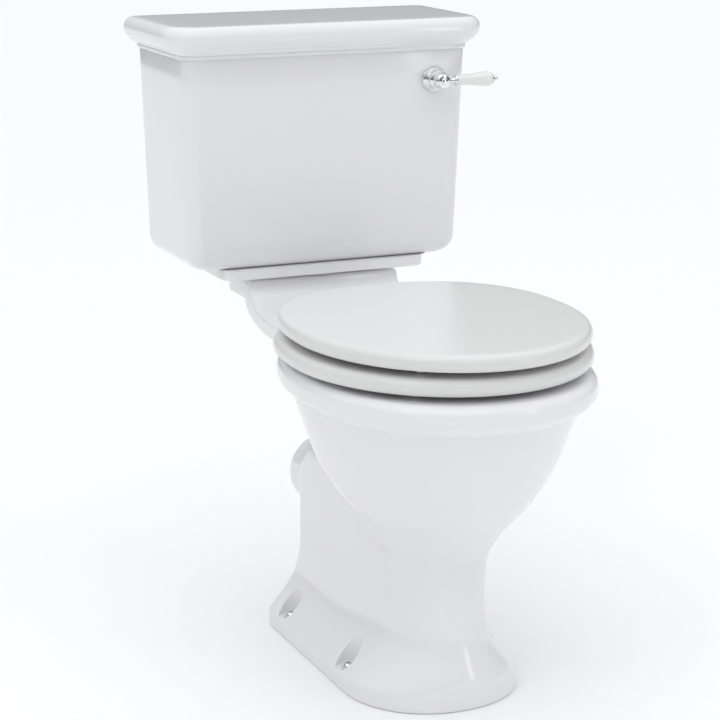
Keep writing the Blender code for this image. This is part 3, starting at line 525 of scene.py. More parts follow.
def screw_pocket(side, x, y):
    """The cutters of one floor screw's pocket: its round well, its mouth leaning outwards and its hole."""
    well = (side * x, y, POCKET_FLOOR), (side * x, y, 0.11)
    mouth = (side * x, y, 0.0335), (side * (x + POCKET_LEAN), y, 0.1)
    hole = (side * x, y, -0.01), (side * x, y, 0.04)
    return [bar("pocket", POCKET_RADIUS, *well, 48), bar("pocket_mouth", POCKET_MOUTH_RADIUS, *mouth, 48),
            bar("screw_hole", SCREW_HOLE, *hole, 16)]


class TOILET_OT_pan(bpy.types.Operator):
    """Builds the glazed pan: foot, pedestal, bowl, rolled rim, deck, shelf and trap"""

    bl_idname = "toilet.pan"
    bl_label = "Pan"

    def execute(self, context):
        sizes = context.scene.toilet_sizes
        middle = sizes.bowl_centre
        rings = [pan_section(z, middle, sizes.fillet) for z in PAN_HEIGHTS]
        sole = [(x * 0.92, -0.13 + (y + 0.13) * 0.94, z) for x, y, z in rings[0]]
        pan = stack("pan_china", [sole, *rings])
        flare = [(0.0, 0.0), (0.0500, 0.0), (0.0500, 0.054), (0.0512, 0.066), (0.0545, 0.074),
                 (0.0610, 0.079), (0.0610, 0.092), (0.0, 0.092)]
        spigot = spun("spigot", flare, (0, -1, 0), (0, PAN_SPIGOT_END, OUTLET_Z), 64)
        rounded(spigot, 0.0035, 3, math.radians(50))
        tubes = [pipe("trap", TRAP_RADIUS, TRAP_ROUTE), pipe("channel", CHANNEL_RADIUS, CHANNEL_ROUTE)]
        cavity_levels = ((-0.010, 0.035, -0.008), (0.008, 0.035, -0.008), (0.013, 0.012, -0.008),
                         (0.022, 0.0, -0.008), (0.200, 0.0, -0.008), (0.235, 0.0, -0.03))
        cavity = [cavity_outline(z, 0.056 + out, 0.052 + out, back) for z, out, back in cavity_levels]
        join_into(pan, [stack("cavity", cavity, 0)], "DIFFERENCE")
        join_into(pan, [*tubes, pan_neck(), spigot])
        bores = [basin(middle), pipe("trap_bore", TRAP_BORE, (*TRAP_ROUTE[:-1], TRAP_BORE_END)),
                 bar("inlet", INLET_SEAT, (0, COUPLING_Y, 0.448), (0, COUPLING_Y, 0.48), 48),
                 pipe("channel_bore", CHANNEL_BORE, (*CHANNEL_ROUTE[:-1], CHANNEL_BORE_END), 5)]
        for side in (-1, 1):
            bolt_x, pillar_x = side * COUPLING_BOLT_X, side * PILLAR_X
            bores.append(bar("bolt_hole", BOLT_HOLE, (bolt_x, COUPLING_Y, 0.42), (bolt_x, COUPLING_Y, 0.48)))
            bores.append(bar("seat_hole", BOLT_HOLE, (pillar_x, HINGE_Y, 0.38), (pillar_x, HINGE_Y, 0.44)))
            for x, y in SCREW_SPOTS:
                bores += screw_pocket(side, x, y)
        join_into(pan, bores, "DIFFERENCE")
        smooth(pan, CHINA_ANGLE)
        finished(pan, look("glaze"), "root", "glaze", "pan_bowl", "pan_pedestal")
        return {"FINISHED"}


CAVITY_NOSE = 0.066


def cavity_outline(z, rear, front, back):
    """The hollow inside the pedestal, open to the floor."""
    nose = quarter(front, CAVITY_NOSE, NOSE_POWER, 12)
    right = [(rear - 0.012, back), (rear - 0.003, back - 0.003), (rear, back - 0.012)]
    right += [(rear, -0.10), (rear, -0.20)]
    right += [(x, BOWL_CENTRE - y) for x, y in nose[:-1]]
    left = [(-x, y) for x, y in reversed(right)]
    return [(x, y, z) for x, y in [*right, (0.0, BOWL_CENTRE - CAVITY_NOSE), *left]]


# ---- Cistern ---------------------------------------------------------------------------------

MOUTH_Z = 0.7642
MOUTH_HALF = 0.2029
MOUTH_FRONT = 0.055
SIDE_TAPER = 0.0336
FRONT_TAPER = 0.027
TANK_BASE = 0.4815
BASE_EDGE = 0.023
CHINA_WALL = 0.009
HOLE_LOW = 0.45
HOLE_HIGH = 0.51


def body_half(z):
    """Half the width of the cistern at a height: it narrows towards its base."""
    return MOUTH_HALF - (MOUTH_Z - z) * SIDE_TAPER


def body_front(z):
    """Where the front of the cistern stands at a height: it leans back towards its base."""
    return MOUTH_FRONT + (MOUTH_Z - z) * FRONT_TAPER


class TOILET_OT_cistern(bpy.types.Operator):
    """Builds the tapered cistern body with its stepped base and hollow tank"""

    bl_idname = "toilet.cistern"
    bl_label = "Cistern"

    def execute(self, context):
        bottom, top, wall = TANK_BASE, BODY_HIGH.z, BODY_HIGH.y
        plinth = BODY_LOW.z
        step = ((plinth, 0.0015), (plinth + 0.0015, 0.0), (bottom - 0.0015, 0.0), (bottom, -0.0012))
        rings = [rounded_rectangle(0.1475 - i, 0.066 + i, wall - 0.02 - i, 0.018, z, 0.008) for z, i in step]
        edge = BASE_EDGE
        rings.append(rounded_rectangle(body_half(bottom) - edge - 0.004, body_front(bottom) + edge,
                                       wall - 0.016, 0.012, bottom, 0.008))
        for angle in range(-84, 1, 12):
            a = math.radians(angle)
            inset, z = edge * (1 - math.cos(a)), bottom + edge * (1 + math.sin(a))
            rings.append(rounded_rectangle(body_half(z) - inset, body_front(z) + inset * 0.75,
                                           wall - inset * 0.55, 0.019, z, 0.006))
        for z in (0.53, 0.58, 0.65, 0.72, top - 0.002):
            rings.append(rounded_rectangle(body_half(z), body_front(z), wall, 0.019, z, 0.006))
        rings.append(rounded_rectangle(body_half(top) - 0.0012, body_front(top) + 0.0012, wall - 0.0012,
                                       0.018, top, 0.005))
        body = stack("cistern_china", rings, 0)
        floor = bottom + 0.011
        hollow = ((floor, 0.012), (floor + 0.002, 0.007), (floor + 0.006, 0.003), (floor + 0.015, 0.0),
                  (top - 0.0025, 0.0), (top, -0.002), (top + 0.01, -0.004))
        tank = [rounded_rectangle(body_half(z) - CHINA_WALL - i, body_front(z) + CHINA_WALL + i,
                                  wall - CHINA_WALL - i, 0.014, z) for z, i in hollow]
        inlet = ((INLET_LOW + INLET_HIGH) / 2).xy
        holes = [stack("tank", tank, 0),
                 bar("outlet", 0.021, (0, COUPLING_Y, HOLE_LOW), (0, COUPLING_Y, HOLE_HIGH), 48),
                 bar("inlet", 0.0115, (*inlet, HOLE_LOW), (*inlet, HOLE_HIGH))]
        for name, x in (("bolt_left", -COUPLING_BOLT_X), ("bolt_right", COUPLING_BOLT_X)):
            holes.append(bar(name, 0.0055, (x, COUPLING_Y, HOLE_LOW), (x, COUPLING_Y, HOLE_HIGH)))
        holes.append(bar("lever_hole", 0.0095, (LEVER_X, 0.04, LEVER_Z), (LEVER_X, 0.085, LEVER_Z)))
        join_into(body, holes, "DIFFERENCE")
        smooth(body)
        finished(body, look("glaze"), "root", "glaze", "cistern_body")
        return {"FINISHED"}


class TOILET_OT_cistern_lid(bpy.types.Operator):
    """Builds the moulded cistern lid: square bead, cove, bullnose and flat top"""

    bl_idname = "toilet.cistern_lid"
    bl_label = "Cistern lid"

    def execute(self, context):
        start, top, back = LID_LOW.z, LID_HIGH.z, LID_HIGH.y
        half, front = LID_HIGH.x, LID_LOW.y
        moulding = [(0.0, 0.0028), (0.0006, 0.0038), (0.0014, 0.0042), (0.0048, 0.0042), (0.0056, 0.0040),
                    (0.0061, 0.0046), (0.0066, 0.0058), (0.0078, 0.0072), (0.0096, 0.0094), (0.0112, 0.0120),
                    (0.0124, 0.0148)]
        rings = [rounded_rectangle(MOUTH_HALF + out, MOUTH_FRONT - out, back, 0.022 + out, start + up, 0.008,
                                   10) for up, out in moulding]
        middle = 0.7925
        for angle in range(-58, 79, 8):
            a = math.radians(angle)
            inset = 0.0145 * (1 - math.cos(a))
            z = middle + (top - middle) * math.sin(a)
            rings.append(rounded_rectangle(half - inset, front + inset, back - max(0.0, inset - 0.006),
                                           0.045 - inset, z, 0.012, 10))
        rings.append(rounded_rectangle(half - 0.0165, front + 0.0165, back - 0.011, 0.028, top - 0.00005,
                                       0.010, 10))
        rings.append(rounded_rectangle(half - 0.0260, front + 0.0260, back - 0.020, 0.020, top, 0.008, 10))
        lid = stack("cistern_lid_china", rings, 0)
        hollow = ((0.7500, 0.0), (0.7780, 0.0), (0.7815, 0.008), (0.7830, 0.021), (0.7960, 0.021),
                  (0.7975, 0.018))
        recess = [rounded_rectangle(0.186 + out, 0.0735 - out, 0.2270 + out / 3, 0.014 + out, z, 0.008)
                  for z, out in hollow]
        join_into(lid, [stack("recess", recess, 0)], "DIFFERENCE")
        smooth(lid)
        finished(lid, look("glaze"), "cistern_lid", "glaze", "cistern_lid")
        return {"FINISHED"}


# ---- Seat ------------------------------------------------------------------------------------

SEAT_POWER = 2.4
RING_EDGE = 0.0105


def edge_roll(low, high, reach, steps=8):
    """(height, inset) pairs round the edge of a board from its underside to its top."""
    middle, half = (low + high) / 2, (high - low) / 2
    angles = [math.radians(-90 + 180 * i / steps) for i in range(steps + 1)]
    return [(middle + half * math.sin(a), reach * (1 - math.cos(a))) for a in angles]


class TOILET_OT_seat(bpy.types.Operator):
    """Builds the wooden seat ring and the seat lid, with rounded enamelled edges"""

    bl_idname = "toilet.seat"
    bl_label = "Seat"

    def execute(self, context):
        sizes = context.scene.toilet_sizes
        middle = sizes.bowl_centre
        tail = SEAT_HIGH.y - middle
        low, high = SEAT_LOW.z, SEAT_HIGH.z
        half, nose = SEAT_HIGH.x, middle - SEAT_LOW.y
        rings = [(low, 0.030), (low, 0.012)]
        rings += edge_roll(low, high - 0.0008, sizes.seat_edge)[1:]
        rings += [(high - 0.0005, 0.018), (high - 0.0002, 0.050), (high, 0.090)]
        rings = [egg(half - i, nose - i, tail - i * 0.85, z, middle, SEAT_POWER) for z, i in rings]
        lid = stack("seat_lid_board", rings)
        smooth(lid)
        finished(lid, look("enamel"), "seat_lid", "seat_enamel", "seat_lid")

        tail = RING_HIGH.y - middle
        low, high = RING_LOW.z, RING_HIGH.z
        half, nose = RING_HIGH.x, middle - RING_LOW.y
        rings = [(low, 0.030), (low, 0.013), *edge_roll(low, high, RING_EDGE)[1:], (high, 0.030)]
        rings = [egg(half - i, nose - i, tail - i * 0.5, z, middle, SEAT_POWER) for z, i in rings]
        ring = stack("seat_ring_board", rings)
        hole = ((low - 0.01, 0.125), (low - 0.0005, 0.119), (low + 0.0015, 0.1145), (low + 0.006, 0.113),
                (high - 0.010, 0.1135), (high - 0.004, 0.117), (high - 0.001, 0.123), (high + 0.0005, 0.130),
                (high + 0.01, 0.140))
        hole = [egg(h, h + 0.025, h + 0.009, z, middle) for z, h in hole]
        join_into(ring, [stack("seat_hole", hole)], "DIFFERENCE")
        smooth(ring)
        finished(ring, look("enamel"), "seat_ring", "seat_enamel", "seat_ring")
        return {"FINISHED"}


# ---- Lever -----------------------------------------------------------------------------------

class TOILET_OT_lever(bpy.types.Operator):
    """Builds the flush lever: stepped rose, boss, turned neck, china grip and ball finial"""

    bl_idname = "toilet.lever"
    bl_label = "Flush lever"

    def execute(self, context):
        x, z = LEVER_X, LEVER_Z
        back = ROSE_HIGH.y
        rose = [(0.0089, 0.0), (0.0089, 0.0076), (0.0098, 0.0076), (0.0108, 0.0070), (0.0128, 0.0066),
                (0.0136, 0.0058), (0.0139, 0.0050), (0.0158, 0.0042), (0.0168, 0.0026), (0.0170, 0.0016),
                (0.0176, 0.0014), (0.0176, 0.0)]
        rose = spun("rose", rose, (0, -1, 0), (x, back, z), 64, 0.0003, 2)
        finished(rose, look("chrome"), "root", "chrome", "lever_rose")

        tip = BOSS_LOW.y
        start = tip + 0.0285
        boss = [(0.0, 0.0285), (0.0030, 0.0284), (0.0040, 0.0278), (0.0045, 0.0262), (0.0082, 0.0258),
                (0.0092, 0.0250), (0.0094, 0.0236), (0.0086, 0.0226), (0.0098, 0.0214), (0.0110, 0.0190),
                (0.0112, 0.0165), (0.0106, 0.0135), (0.0094, 0.0118), (0.0096, 0.0108), (0.0128, 0.0098),
                (0.0136, 0.0086), (0.0136, 0.0050), (0.0128, 0.0040), (0.0112, 0.0032), (0.0108, 0.0010),
                (0.0112, 0.0), (0.0043, 0.0), (0.0043, -0.0620), (0.0, -0.0620)]
        boss = spun("lever_boss", boss, (0, -1, 0), (x, start, z), 64, 0.0002, 2)
        finished(boss, look("chrome"), "flush_lever", "chrome", "lever_boss_and_spindle")

        y, grip_start, grip_end = GRIP_Y, GRIP_LOW.x, GRIP_HIGH.x
        neck = [(0.0, 0.0098), (0.0034, 0.0098), (0.0035, 0.0075), (0.0037, 0.0058), (0.0046, 0.0048),
                (0.0052, 0.0040), (0.0050, 0.0036), (0.0066, 0.0030), (0.0074, 0.0020), (0.0075, 0.0008),
                (0.0066, 0.0), (0.0, 0.0)]
        neck = spun("lever_neck_turned", neck, (-1, 0, 0), (grip_start - GAP, y, z), 48)
        finished(neck, look("chrome"), "flush_lever", "chrome", "lever_neck")

        long = grip_end - grip_start
        grip = ((0.0, 0.0), (0.0060, 0.0), (0.0068, 0.02), (0.0071, 0.07), (0.0071, 0.16), (0.0073, 0.28),
                (0.0077, 0.42), (0.0083, 0.55), (0.0091, 0.67), (0.0097, 0.77), (0.0099, 0.85),
                (0.0096, 0.92), (0.0088, 0.965), (0.0074, 0.99), (0.0056, 1.0), (0.0, 1.0))
        grip = spun("grip_china", [(r, h * long) for r, h in grip], (1, 0, 0), (grip_start, y, z), 48)
        finished(grip, look("porcelain"), "flush_lever", "grip_porcelain", "lever_grip")

        ball = [(0.0034 * math.cos(a), 0.0067 + 0.0031 * math.sin(a))
                for a in (math.radians(-40 + 10 * i) for i in range(14))]
        cap = [(0.0, 0.0), (0.0066, 0.0), (0.0068, 0.0006), (0.0067, 0.0016), (0.0058, 0.0028),
               (0.0042, 0.0036), (0.0028, 0.0042), *ball]
        cap = spun("lever_finial", cap, (1, 0, 0), (grip_end + GAP, y, z), 40)
        finished(cap, look("chrome"), "flush_lever", "chrome", "lever_cap")
        return {"FINISHED"}


# ---- Screws, hinge and bumpers ---------------------------------------------------------------

class TOILET_OT_floor_screws(bpy.types.Operator):
    """Builds the four cross-slotted floor screws and their cup washers"""

    bl_idname = "toilet.floor_screws"
    bl_label = "Floor screws"

    def execute(self, context):
        for row, (x, y) in (("rear", SCREW_SPOTS[0]), ("front", SCREW_SPOTS[1])):
            for side, sign in (("left", -1), ("right", 1)):
                base = Vector((sign * x, y, POCKET_FLOOR + GAP))
                washer = [(0.0036, 0.0), (0.0036, 0.0015), (0.0072, 0.0015), (0.0084, 0.0012),
                          (0.0093, 0.0005), (0.0095, 0.0)]
                washer = spun(f"cup_washer_{row}_{side}", washer, (0, 0, 1), base, 40)
                finished(washer, look("chrome"), "root", "chrome", f"floor_washer_{row}_{side}")
                head = base + Vector((0, 0, 0.0018))
                dome = [(0.0, 0.0052)] + [
                    (0.0068 * math.sin(a), 0.0006 + 0.0046 * math.cos(a))
                    for a in (math.radians(15 * i) for i in range(1, 7))
                ]
                dome += [(0.0068, 0.0), (0.0028, 0.0), (0.0028, -0.0255), (0.0, -0.0255)]
                screw = spun(f"screw_{row}_{side}", dome, (0, 0, 1), head, 32)
                for turn in (0.4, 0.4 + math.pi / 2):
                    slot = block("slot", (-0.0042, -0.00065, 0.0030), (0.0042, 0.00065, 0.0070))
                    slot.data.transform(Matrix.Translation(head) @ Matrix.Rotation(turn, 4, "Z"))
                    join_into(screw, [slot], "DIFFERENCE")
                smooth(screw, math.radians(30))
                finished(screw, look("chrome"), "root", "chrome", f"floor_screw_{row}_{side}")
        return {"FINISHED"}


class TOILET_OT_hinge(bpy.types.Operator):
    """Builds the seat hinge: bar, turned pillars and the knuckles of ring and lid"""

    bl_idname = "toilet.hinge"
    bl_label = "Seat hinge"

    def execute(self, context):
        y, z = HINGE_Y, HINGE_Z
        rod = bar("hinge_rod", 0.005, (HINGE_LOW.x, y, z), (HINGE_HIGH.x, y, z), 32, 0.0008)
        finished(rod, look("chrome"), "root", "chrome", "hinge_bar")
        for side, sign in (("left", -1), ("right", 1)):
            x = sign * PILLAR_X
            profile = [(0.0, 0.4625), (0.0045, 0.4624), (0.0080, 0.4614), (0.0102, 0.4592),
                       (0.0113, 0.4560), (0.0115, 0.4520), (0.0113, 0.4480), (0.0104, 0.4450),
                       (0.0088, 0.4425), (0.0078, 0.4400), (0.0074, 0.4360), (0.0076, 0.4320),
                       (0.0086, 0.4296), (0.0108, 0.4284), (0.0128, 0.4278), (0.0134, 0.4266),
                       (0.0135, 0.4239), (0.0040, 0.4239), (0.0040, 0.3800), (0.0, 0.3800)]
            pillar = spun(f"pillar_{side}", profile, (0, 0, 1), (x, y, 0), 40)
            bore = bar("bore", HINGE_BORE, (x - 0.02, y, z), (x + 0.02, y, z), 32)
            join_into(pillar, [bore], "DIFFERENCE")
            smooth(pillar)
            finished(pillar, look("chrome"), "root", "chrome", f"hinge_pillar_{side}")
            for owner, middle, underside in (("ring", 0.0545, RING_LOW.z), ("lid", 0.0320, SEAT_LOW.z)):
                centre = sign * middle
                sleeve = [(HINGE_BORE, -0.009), (0.0086, -0.009), (0.0092, -0.0084), (0.0092, 0.0084),
                          (0.0086, 0.009), (HINGE_BORE, 0.009)]
                sleeve = spun(f"{owner}_knuckle_{side}", sleeve, (1, 0, 0), (centre, y, z), 40)
                plate = block("plate", (centre - 0.0085, -0.120, underside - GAP - 0.002),
                              (centre + 0.0085, y - 0.0062, underside - GAP), 0.0006, 2)
                parts = [plate]
                if owner == "ring":
                    parts.append(block("web", (centre - 0.008, -0.0715, underside - 0.0022),
                                       (centre + 0.008, y - 0.0058, z - 0.003), 0.0006, 2))
                join_into(sleeve, parts)
                for spot in (-0.108, -0.092):
                    dome = [(0.0, -0.0012), (0.0022, -0.0011), (0.0034, -0.0004), (0.0036, 0.0002),
                            (0.0, 0.0002)]
                    head = spun("head", dome, (0, 0, 1), (centre, spot, underside - GAP - 0.002), 20)
                    join_into(sleeve, [head])
                smooth(sleeve)
                finished(sleeve, look("chrome"), f"seat_{owner}", "chrome", f"{owner}_hinge_{side}")
        return {"FINISHED"}


class TOILET_OT_bumpers(bpy.types.Operator):
    """Builds the soft bumpers under the seat ring and the seat lid"""

    bl_idname = "toilet.bumpers"
    bl_label = "Bumpers"

    def execute(self, context):
        for side in ("left", "right"):
            nodes = [(f"ring_bumper_{row}_{side}", "seat_ring") for row in ("front", "rear")]
            for node, body in [*nodes, (f"lid_bumper_{side}", "seat_lid")]:
                low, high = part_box(node)
                tall, radius = high.z - low.z, (high.x - low.x) / 2
                shape = ((0.0, 0.0), (0.62, 0.0), (0.74, 0.08), (0.80, 0.25), (0.92, 0.55), (1.0, 0.80),
                         (1.0, 1.0), (0.0, 1.0))
                profile = [(radius * out, tall * up) for out, up in shape]
                centre = ((low.x + high.x) / 2, (low.y + high.y) / 2, low.z)
                pad = spun(f"{node}_pad", profile, (0, 0, 1), centre, 32)
                finished(pad, look("bumper"), body, "bumper_rubber", node)
        return {"FINISHED"}


# ---- Finishes --------------------------------------------------------------------------------

def new_group(name, inputs, outputs):
    """An empty shader node group with these sockets: (name, socket type, default)."""
    group = bpy.data.node_groups.new(name, "ShaderNodeTree")
    for title, kind, default in inputs:
        socket = group.interface.new_socket(name=title, in_out="INPUT", socket_type=kind)
        socket.default_value = default
    for title, kind in outputs:
        group.interface.new_socket(name=title, in_out="OUTPUT", socket_type=kind)
    return group, group.nodes.new("NodeGroupInput"), group.nodes.new("NodeGroupOutput")


def node(tree, kind, values=(), **settings):
    made = tree.nodes.new(kind)
    for key, value in settings.items():
        setattr(made, key, value)
    for key, value in dict(values).items():
        made.inputs[key].default_value = value
    return made


def surface_variation():
    """Soft cloudy tint, faint unevenness of gloss and a slow ripple in the surface, each at its own scale."""
    group, enter, leave_ = new_group(
        "surface_variation",
        (("Colour", "NodeSocketColor", (0.8, 0.8, 0.8, 1)), ("Tint", "NodeSocketColor", (0.7, 0.7, 0.75, 1)),
         ("Tint amount", "NodeSocketFloat", 0.15), ("Gloss", "NodeSocketFloat", 0.08),
         ("Gloss change", "NodeSocketFloat", 0.05), ("Cloud scale", "NodeSocketFloat", 7.0),
         ("Ripple scale", "NodeSocketFloat", 30.0)),
        (("Colour", "NodeSocketColor"), ("Roughness", "NodeSocketFloat"), ("Height", "NodeSocketFloat")),
    )
    link = group.links.new
    place = node(group, "ShaderNodeTexCoord")
    clouds = node(group, "ShaderNodeTexNoise", {"Detail": 3.0, "Roughness": 0.55})
    ripple = node(group, "ShaderNodeTexNoise", {"Detail": 1.5, "Roughness": 0.4})
    for texture, scale in ((clouds, "Cloud scale"), (ripple, "Ripple scale")):
        link(place.outputs["Object"], texture.inputs["Vector"])
        link(enter.outputs[scale], texture.inputs["Scale"])
    share = node(group, "ShaderNodeMath", operation="MULTIPLY")
    link(clouds.outputs["Fac"], share.inputs[0])
    link(enter.outputs["Tint amount"], share.inputs[1])
    mix = node(group, "ShaderNodeMix", data_type="RGBA")
    link(share.outputs[0], mix.inputs["Factor"])
    link(enter.outputs["Colour"], mix.inputs["A"])
    link(enter.outputs["Tint"], mix.inputs["B"])
    gloss = node(group, "ShaderNodeMath", operation="MULTIPLY_ADD")
    link(ripple.outputs["Fac"], gloss.inputs[0])
    link(enter.outputs["Gloss change"], gloss.inputs[1])
    link(enter.outputs["Gloss"], gloss.inputs[2])
    link(mix.outputs["Result"], leave_.inputs["Colour"])
    link(gloss.outputs[0], leave_.inputs["Roughness"])
    link(ripple.outputs["Fac"], leave_.inputs["Height"])
    return group


def crevice_tint():
    """Painted shade: a darker colour in the creases of a surface, from how hollow it is there."""
    group, enter, leave_ = new_group(
        "crevice_tint",
        (("Colour", "NodeSocketColor", (0.8, 0.8, 0.8, 1)), ("Shade", "NodeSocketColor", (0.5, 0.5, 0.5, 1)),
         ("Pointiness", "NodeSocketFloat", 0.5), ("Amount", "NodeSocketFloat", 0.3)),
        (("Colour", "NodeSocketColor"),),
    )
    link = group.links.new
    band = node(group, "ShaderNodeMapRange",
                {"From Min": 0.50, "From Max": 0.42, "To Min": 0.0, "To Max": 1.0})
    share = node(group, "ShaderNodeMath", operation="MULTIPLY")
    mix = node(group, "ShaderNodeMix", data_type="RGBA")
    link(enter.outputs["Pointiness"], band.inputs["Value"])
    link(band.outputs["Result"], share.inputs[0])
    link(enter.outputs["Amount"], share.inputs[1])
    link(share.outputs[0], mix.inputs["Factor"])
    link(enter.outputs["Colour"], mix.inputs["A"])
    link(enter.outputs["Shade"], mix.inputs["B"])
    link(mix.outputs["Result"], leave_.inputs["Colour"])
    return group


# Name: gloss, change of gloss, metal, cloud and ripple scale, ripple depth, coat, tint and its share
FINISHES = {
    "glaze": (0.055, 0.030, 0.0, 6.0, 24.0, 0.00012, 0.0, (0.63, 0.63, 0.675), 0.35),
    "enamel": (0.270, 0.060, 0.0, 9.0, 260.0, 0.00002, 0.15, (0.76, 0.76, 0.75), 0.30),
    "chrome": (0.045, 0.050, 1.0, 60.0, 180.0, 0.00001, 0.0, (0.50, 0.52, 0.56), 0.40),
    "porcelain": (0.080, 0.030, 0.0, 30.0, 90.0, 0.00003, 0.2, (0.80, 0.80, 0.78), 0.30),
    "brass": (0.260, 0.150, 1.0, 40.0, 220.0, 0.00003, 0.0, (0.42, 0.27, 0.10), 0.60),
    "steel": (0.300, 0.150, 1.0, 40.0, 300.0, 0.00003, 0.0, (0.38, 0.39, 0.41), 0.50),
    "rubber": (0.620, 0.200, 0.0, 30.0, 400.0, 0.00008, 0.0, (0.045, 0.045, 0.05), 0.50),
    "foam": (0.800, 0.100, 0.0, 30.0, 500.0, 0.00020, 0.0, (0.42, 0.42, 0.41), 0.40),
    "bumper": (0.380, 0.100, 0.0, 30.0, 200.0, 0.00003, 0.0, (0.66, 0.65, 0.60), 0.40),
    "white_plastic": (0.330, 0.100, 0.0, 20.0, 240.0, 0.00003, 0.0, (0.70, 0.70, 0.66), 0.40),
    "blue_plastic": (0.360, 0.100, 0.0, 20.0, 240.0, 0.00003, 0.0, (0.05, 0.13, 0.30), 0.40),
}
PLAIN_COLOURS = {
    "steel": (0.55, 0.56, 0.57), "rubber": (0.022, 0.022, 0.024), "foam": (0.56, 0.56, 0.55),
    "bumper": (0.76, 0.75, 0.70), "white_plastic": (0.78, 0.78, 0.75), "blue_plastic": (0.07, 0.20, 0.44),
}


def build_finish(name, base):
    """A Principled material whose colour, gloss and height vary a little over the surface, with painted shade
    darkening its creases.
    """
    gloss, change, metal, cloud, ripple, depth, coat, tint, share = FINISHES[name]
    made = bpy.data.materials.new(name)
    made.use_nodes = True
    tree = made.node_tree
    shader = tree.nodes["Principled BSDF"]
    shader.inputs["Metallic"].default_value = metal
    shader.inputs["Coat Weight"].default_value = coat
    shader.inputs["Coat Roughness"].default_value = 0.05
    vary = node(tree, "ShaderNodeGroup", node_tree=bpy.data.node_groups["surface_variation"])
    for key, value in (("Colour", (*base, 1)), ("Tint", (*tint, 1)), ("Tint amount", share), ("Gloss", gloss),
                       ("Gloss change", change), ("Cloud scale", cloud), ("Ripple scale", ripple)):
        vary.inputs[key].default_value = value
    # Painted shade: creases get a darker copy of the base colour, by how hollow the surface is there.
    corner = node(tree, "ShaderNodeGroup", {"Amount": 0.25}, node_tree=bpy.data.node_groups["crevice_tint"])
    corner.inputs["Shade"].default_value = (*(0.62 * c for c in base), 1)
    surface = node(tree, "ShaderNodeNewGeometry")
    bump = node(tree, "ShaderNodeBump", {"Strength": 1.0, "Distance": depth})
    tree.links.new(surface.outputs["Pointiness"], corner.inputs["Pointiness"])
    tree.links.new(vary.outputs["Colour"], corner.inputs["Colour"])
    tree.links.new(corner.outputs["Colour"], shader.inputs["Base Color"])
    tree.links.new(vary.outputs["Roughness"], shader.inputs["Roughness"])
    tree.links.new(vary.outputs["Height"], bump.inputs["Height"])
    tree.links.new(bump.outputs["Normal"], shader.inputs["Normal"])
    return made


def look(name):
    """The finish with this name, which the finishes' operator has made."""
    return bpy.data.materials[name]


class TOILET_OT_finishes(bpy.types.Operator):
    """Makes the finishes: glaze, enamel, chrome, china, brass, steel, rubber, foam and plastics"""

    bl_idname = "toilet.finishes"
    bl_label = "Finishes"

    def execute(self, context):
        surface_variation()
        crevice_tint()
        colours = context.scene.toilet_colours
        own = ("glaze", "enamel", "chrome", "porcelain", "brass")
        chosen = {key: tuple(getattr(colours, key)) for key in own}
        for name in FINISHES:
            build_finish(name, {**PLAIN_COLOURS, **chosen}[name])
        return {"FINISHED"}


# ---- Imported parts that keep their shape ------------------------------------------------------

KEPT_FINISHES = {
    "foam": ("close_coupling_washer",),
    "brass": ("lever_bush", "lever_backnut", "lever_crank", "coupling_bolt_left", "coupling_bolt_right",
              "wing_nut_left", "wing_nut_right", "float_arm"),
    "steel": ("pillar_nut_left", "pillar_nut_right", "siphon_rod", "siphon_rod_collar"),
    "chrome": ("valve_piston",),
    "rubber": ("bolt_seal_left", "bolt_seal_right", "shelf_washer_left", "shelf_washer_right"),
    "white_plastic": ("siphon_body", "siphon_backnut", "inlet_riser", "inlet_backnut", "float"),
    "blue_plastic": ("valve_head",),
}


class TOILET_OT_kept_parts(bpy.types.Operator):
    """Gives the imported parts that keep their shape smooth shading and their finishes"""

    bl_idname = "toilet.kept_parts"
    bl_label = "Fittings"

    def execute(self, context):
        for finish, names in KEPT_FINISHES.items():
            for name in names:
                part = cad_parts[name]
                part.data.materials.clear()
                part.data.materials.append(look(finish))
                smooth(part)
        return {"FINISHED"}


# ---- Stage -----------------------------------------------------------------------------------

VIEW_AZIMUTH = math.radians(-23.338)
VIEW_ELEVATION = math.radians(14.076)
VIEW_DISTANCE = 2.8326
VIEW_TARGET = Vector((-0.0283, -0.112, 0.3892))
LENS = 109.77
SENSOR = 36.0
SKY_LOW = 0.03
SKY_HIGH = 1.42
SKY_COLOUR = (0.98, 0.985, 1.0, 1)
KEY_PLACE, KEY_AIM = (-2.4, -1.5, 2.8), (0, -0.1, 0.4)
KEY_SIZE, KEY_WATTS = 1.4, 8
STRIP_PLACE, STRIP_AIM = (1.6, -2.6, 1.0), (0, -0.2, 0.30)
STRIP_WIDTH, STRIP_HEIGHT, STRIP_WATTS = 0.22, 1.5, 5
SUN_TILT = (math.radians(18), math.radians(-14), 0)
SUN_STRENGTH, SUN_ANGLE = 0.30, math.radians(60)


def area_light(name, place, target, size, energy, size_y=None):
    deselect()
    bpy.ops.object.light_add(type="AREA", location=place)
    lamp = bpy.context.object
    lamp.name = name
    lamp.rotation_euler = (Vector(target) - Vector(place)).to_track_quat("-Z", "Y").to_euler()
    lamp.data.shape = "RECTANGLE"
    lamp.data.size, lamp.data.size_y = size, size_y or size
    lamp.data.energy = energy
    return lamp


def studio_sky():
    """A sky that is bright overhead, like a large ceiling softbox, and dim towards the walls."""
    world = bpy.data.worlds.new("studio")
    world.use_nodes = True
    tree = world.node_tree
    place = node(tree, "ShaderNodeTexCoord")
    height = node(tree, "ShaderNodeSeparateXYZ")
    glow = node(tree, "ShaderNodeMapRange",
                {"From Min": 0.0, "From Max": 1.0, "To Min": SKY_LOW, "To Max": SKY_HIGH})
    tree.links.new(place.outputs["Generated"], height.inputs["Vector"])
    tree.links.new(height.outputs["Z"], glow.inputs["Value"])
    background = tree.nodes["Background"]
    background.inputs["Color"].default_value = SKY_COLOUR
    tree.links.new(glow.outputs["Result"], background.inputs["Strength"])
    return world


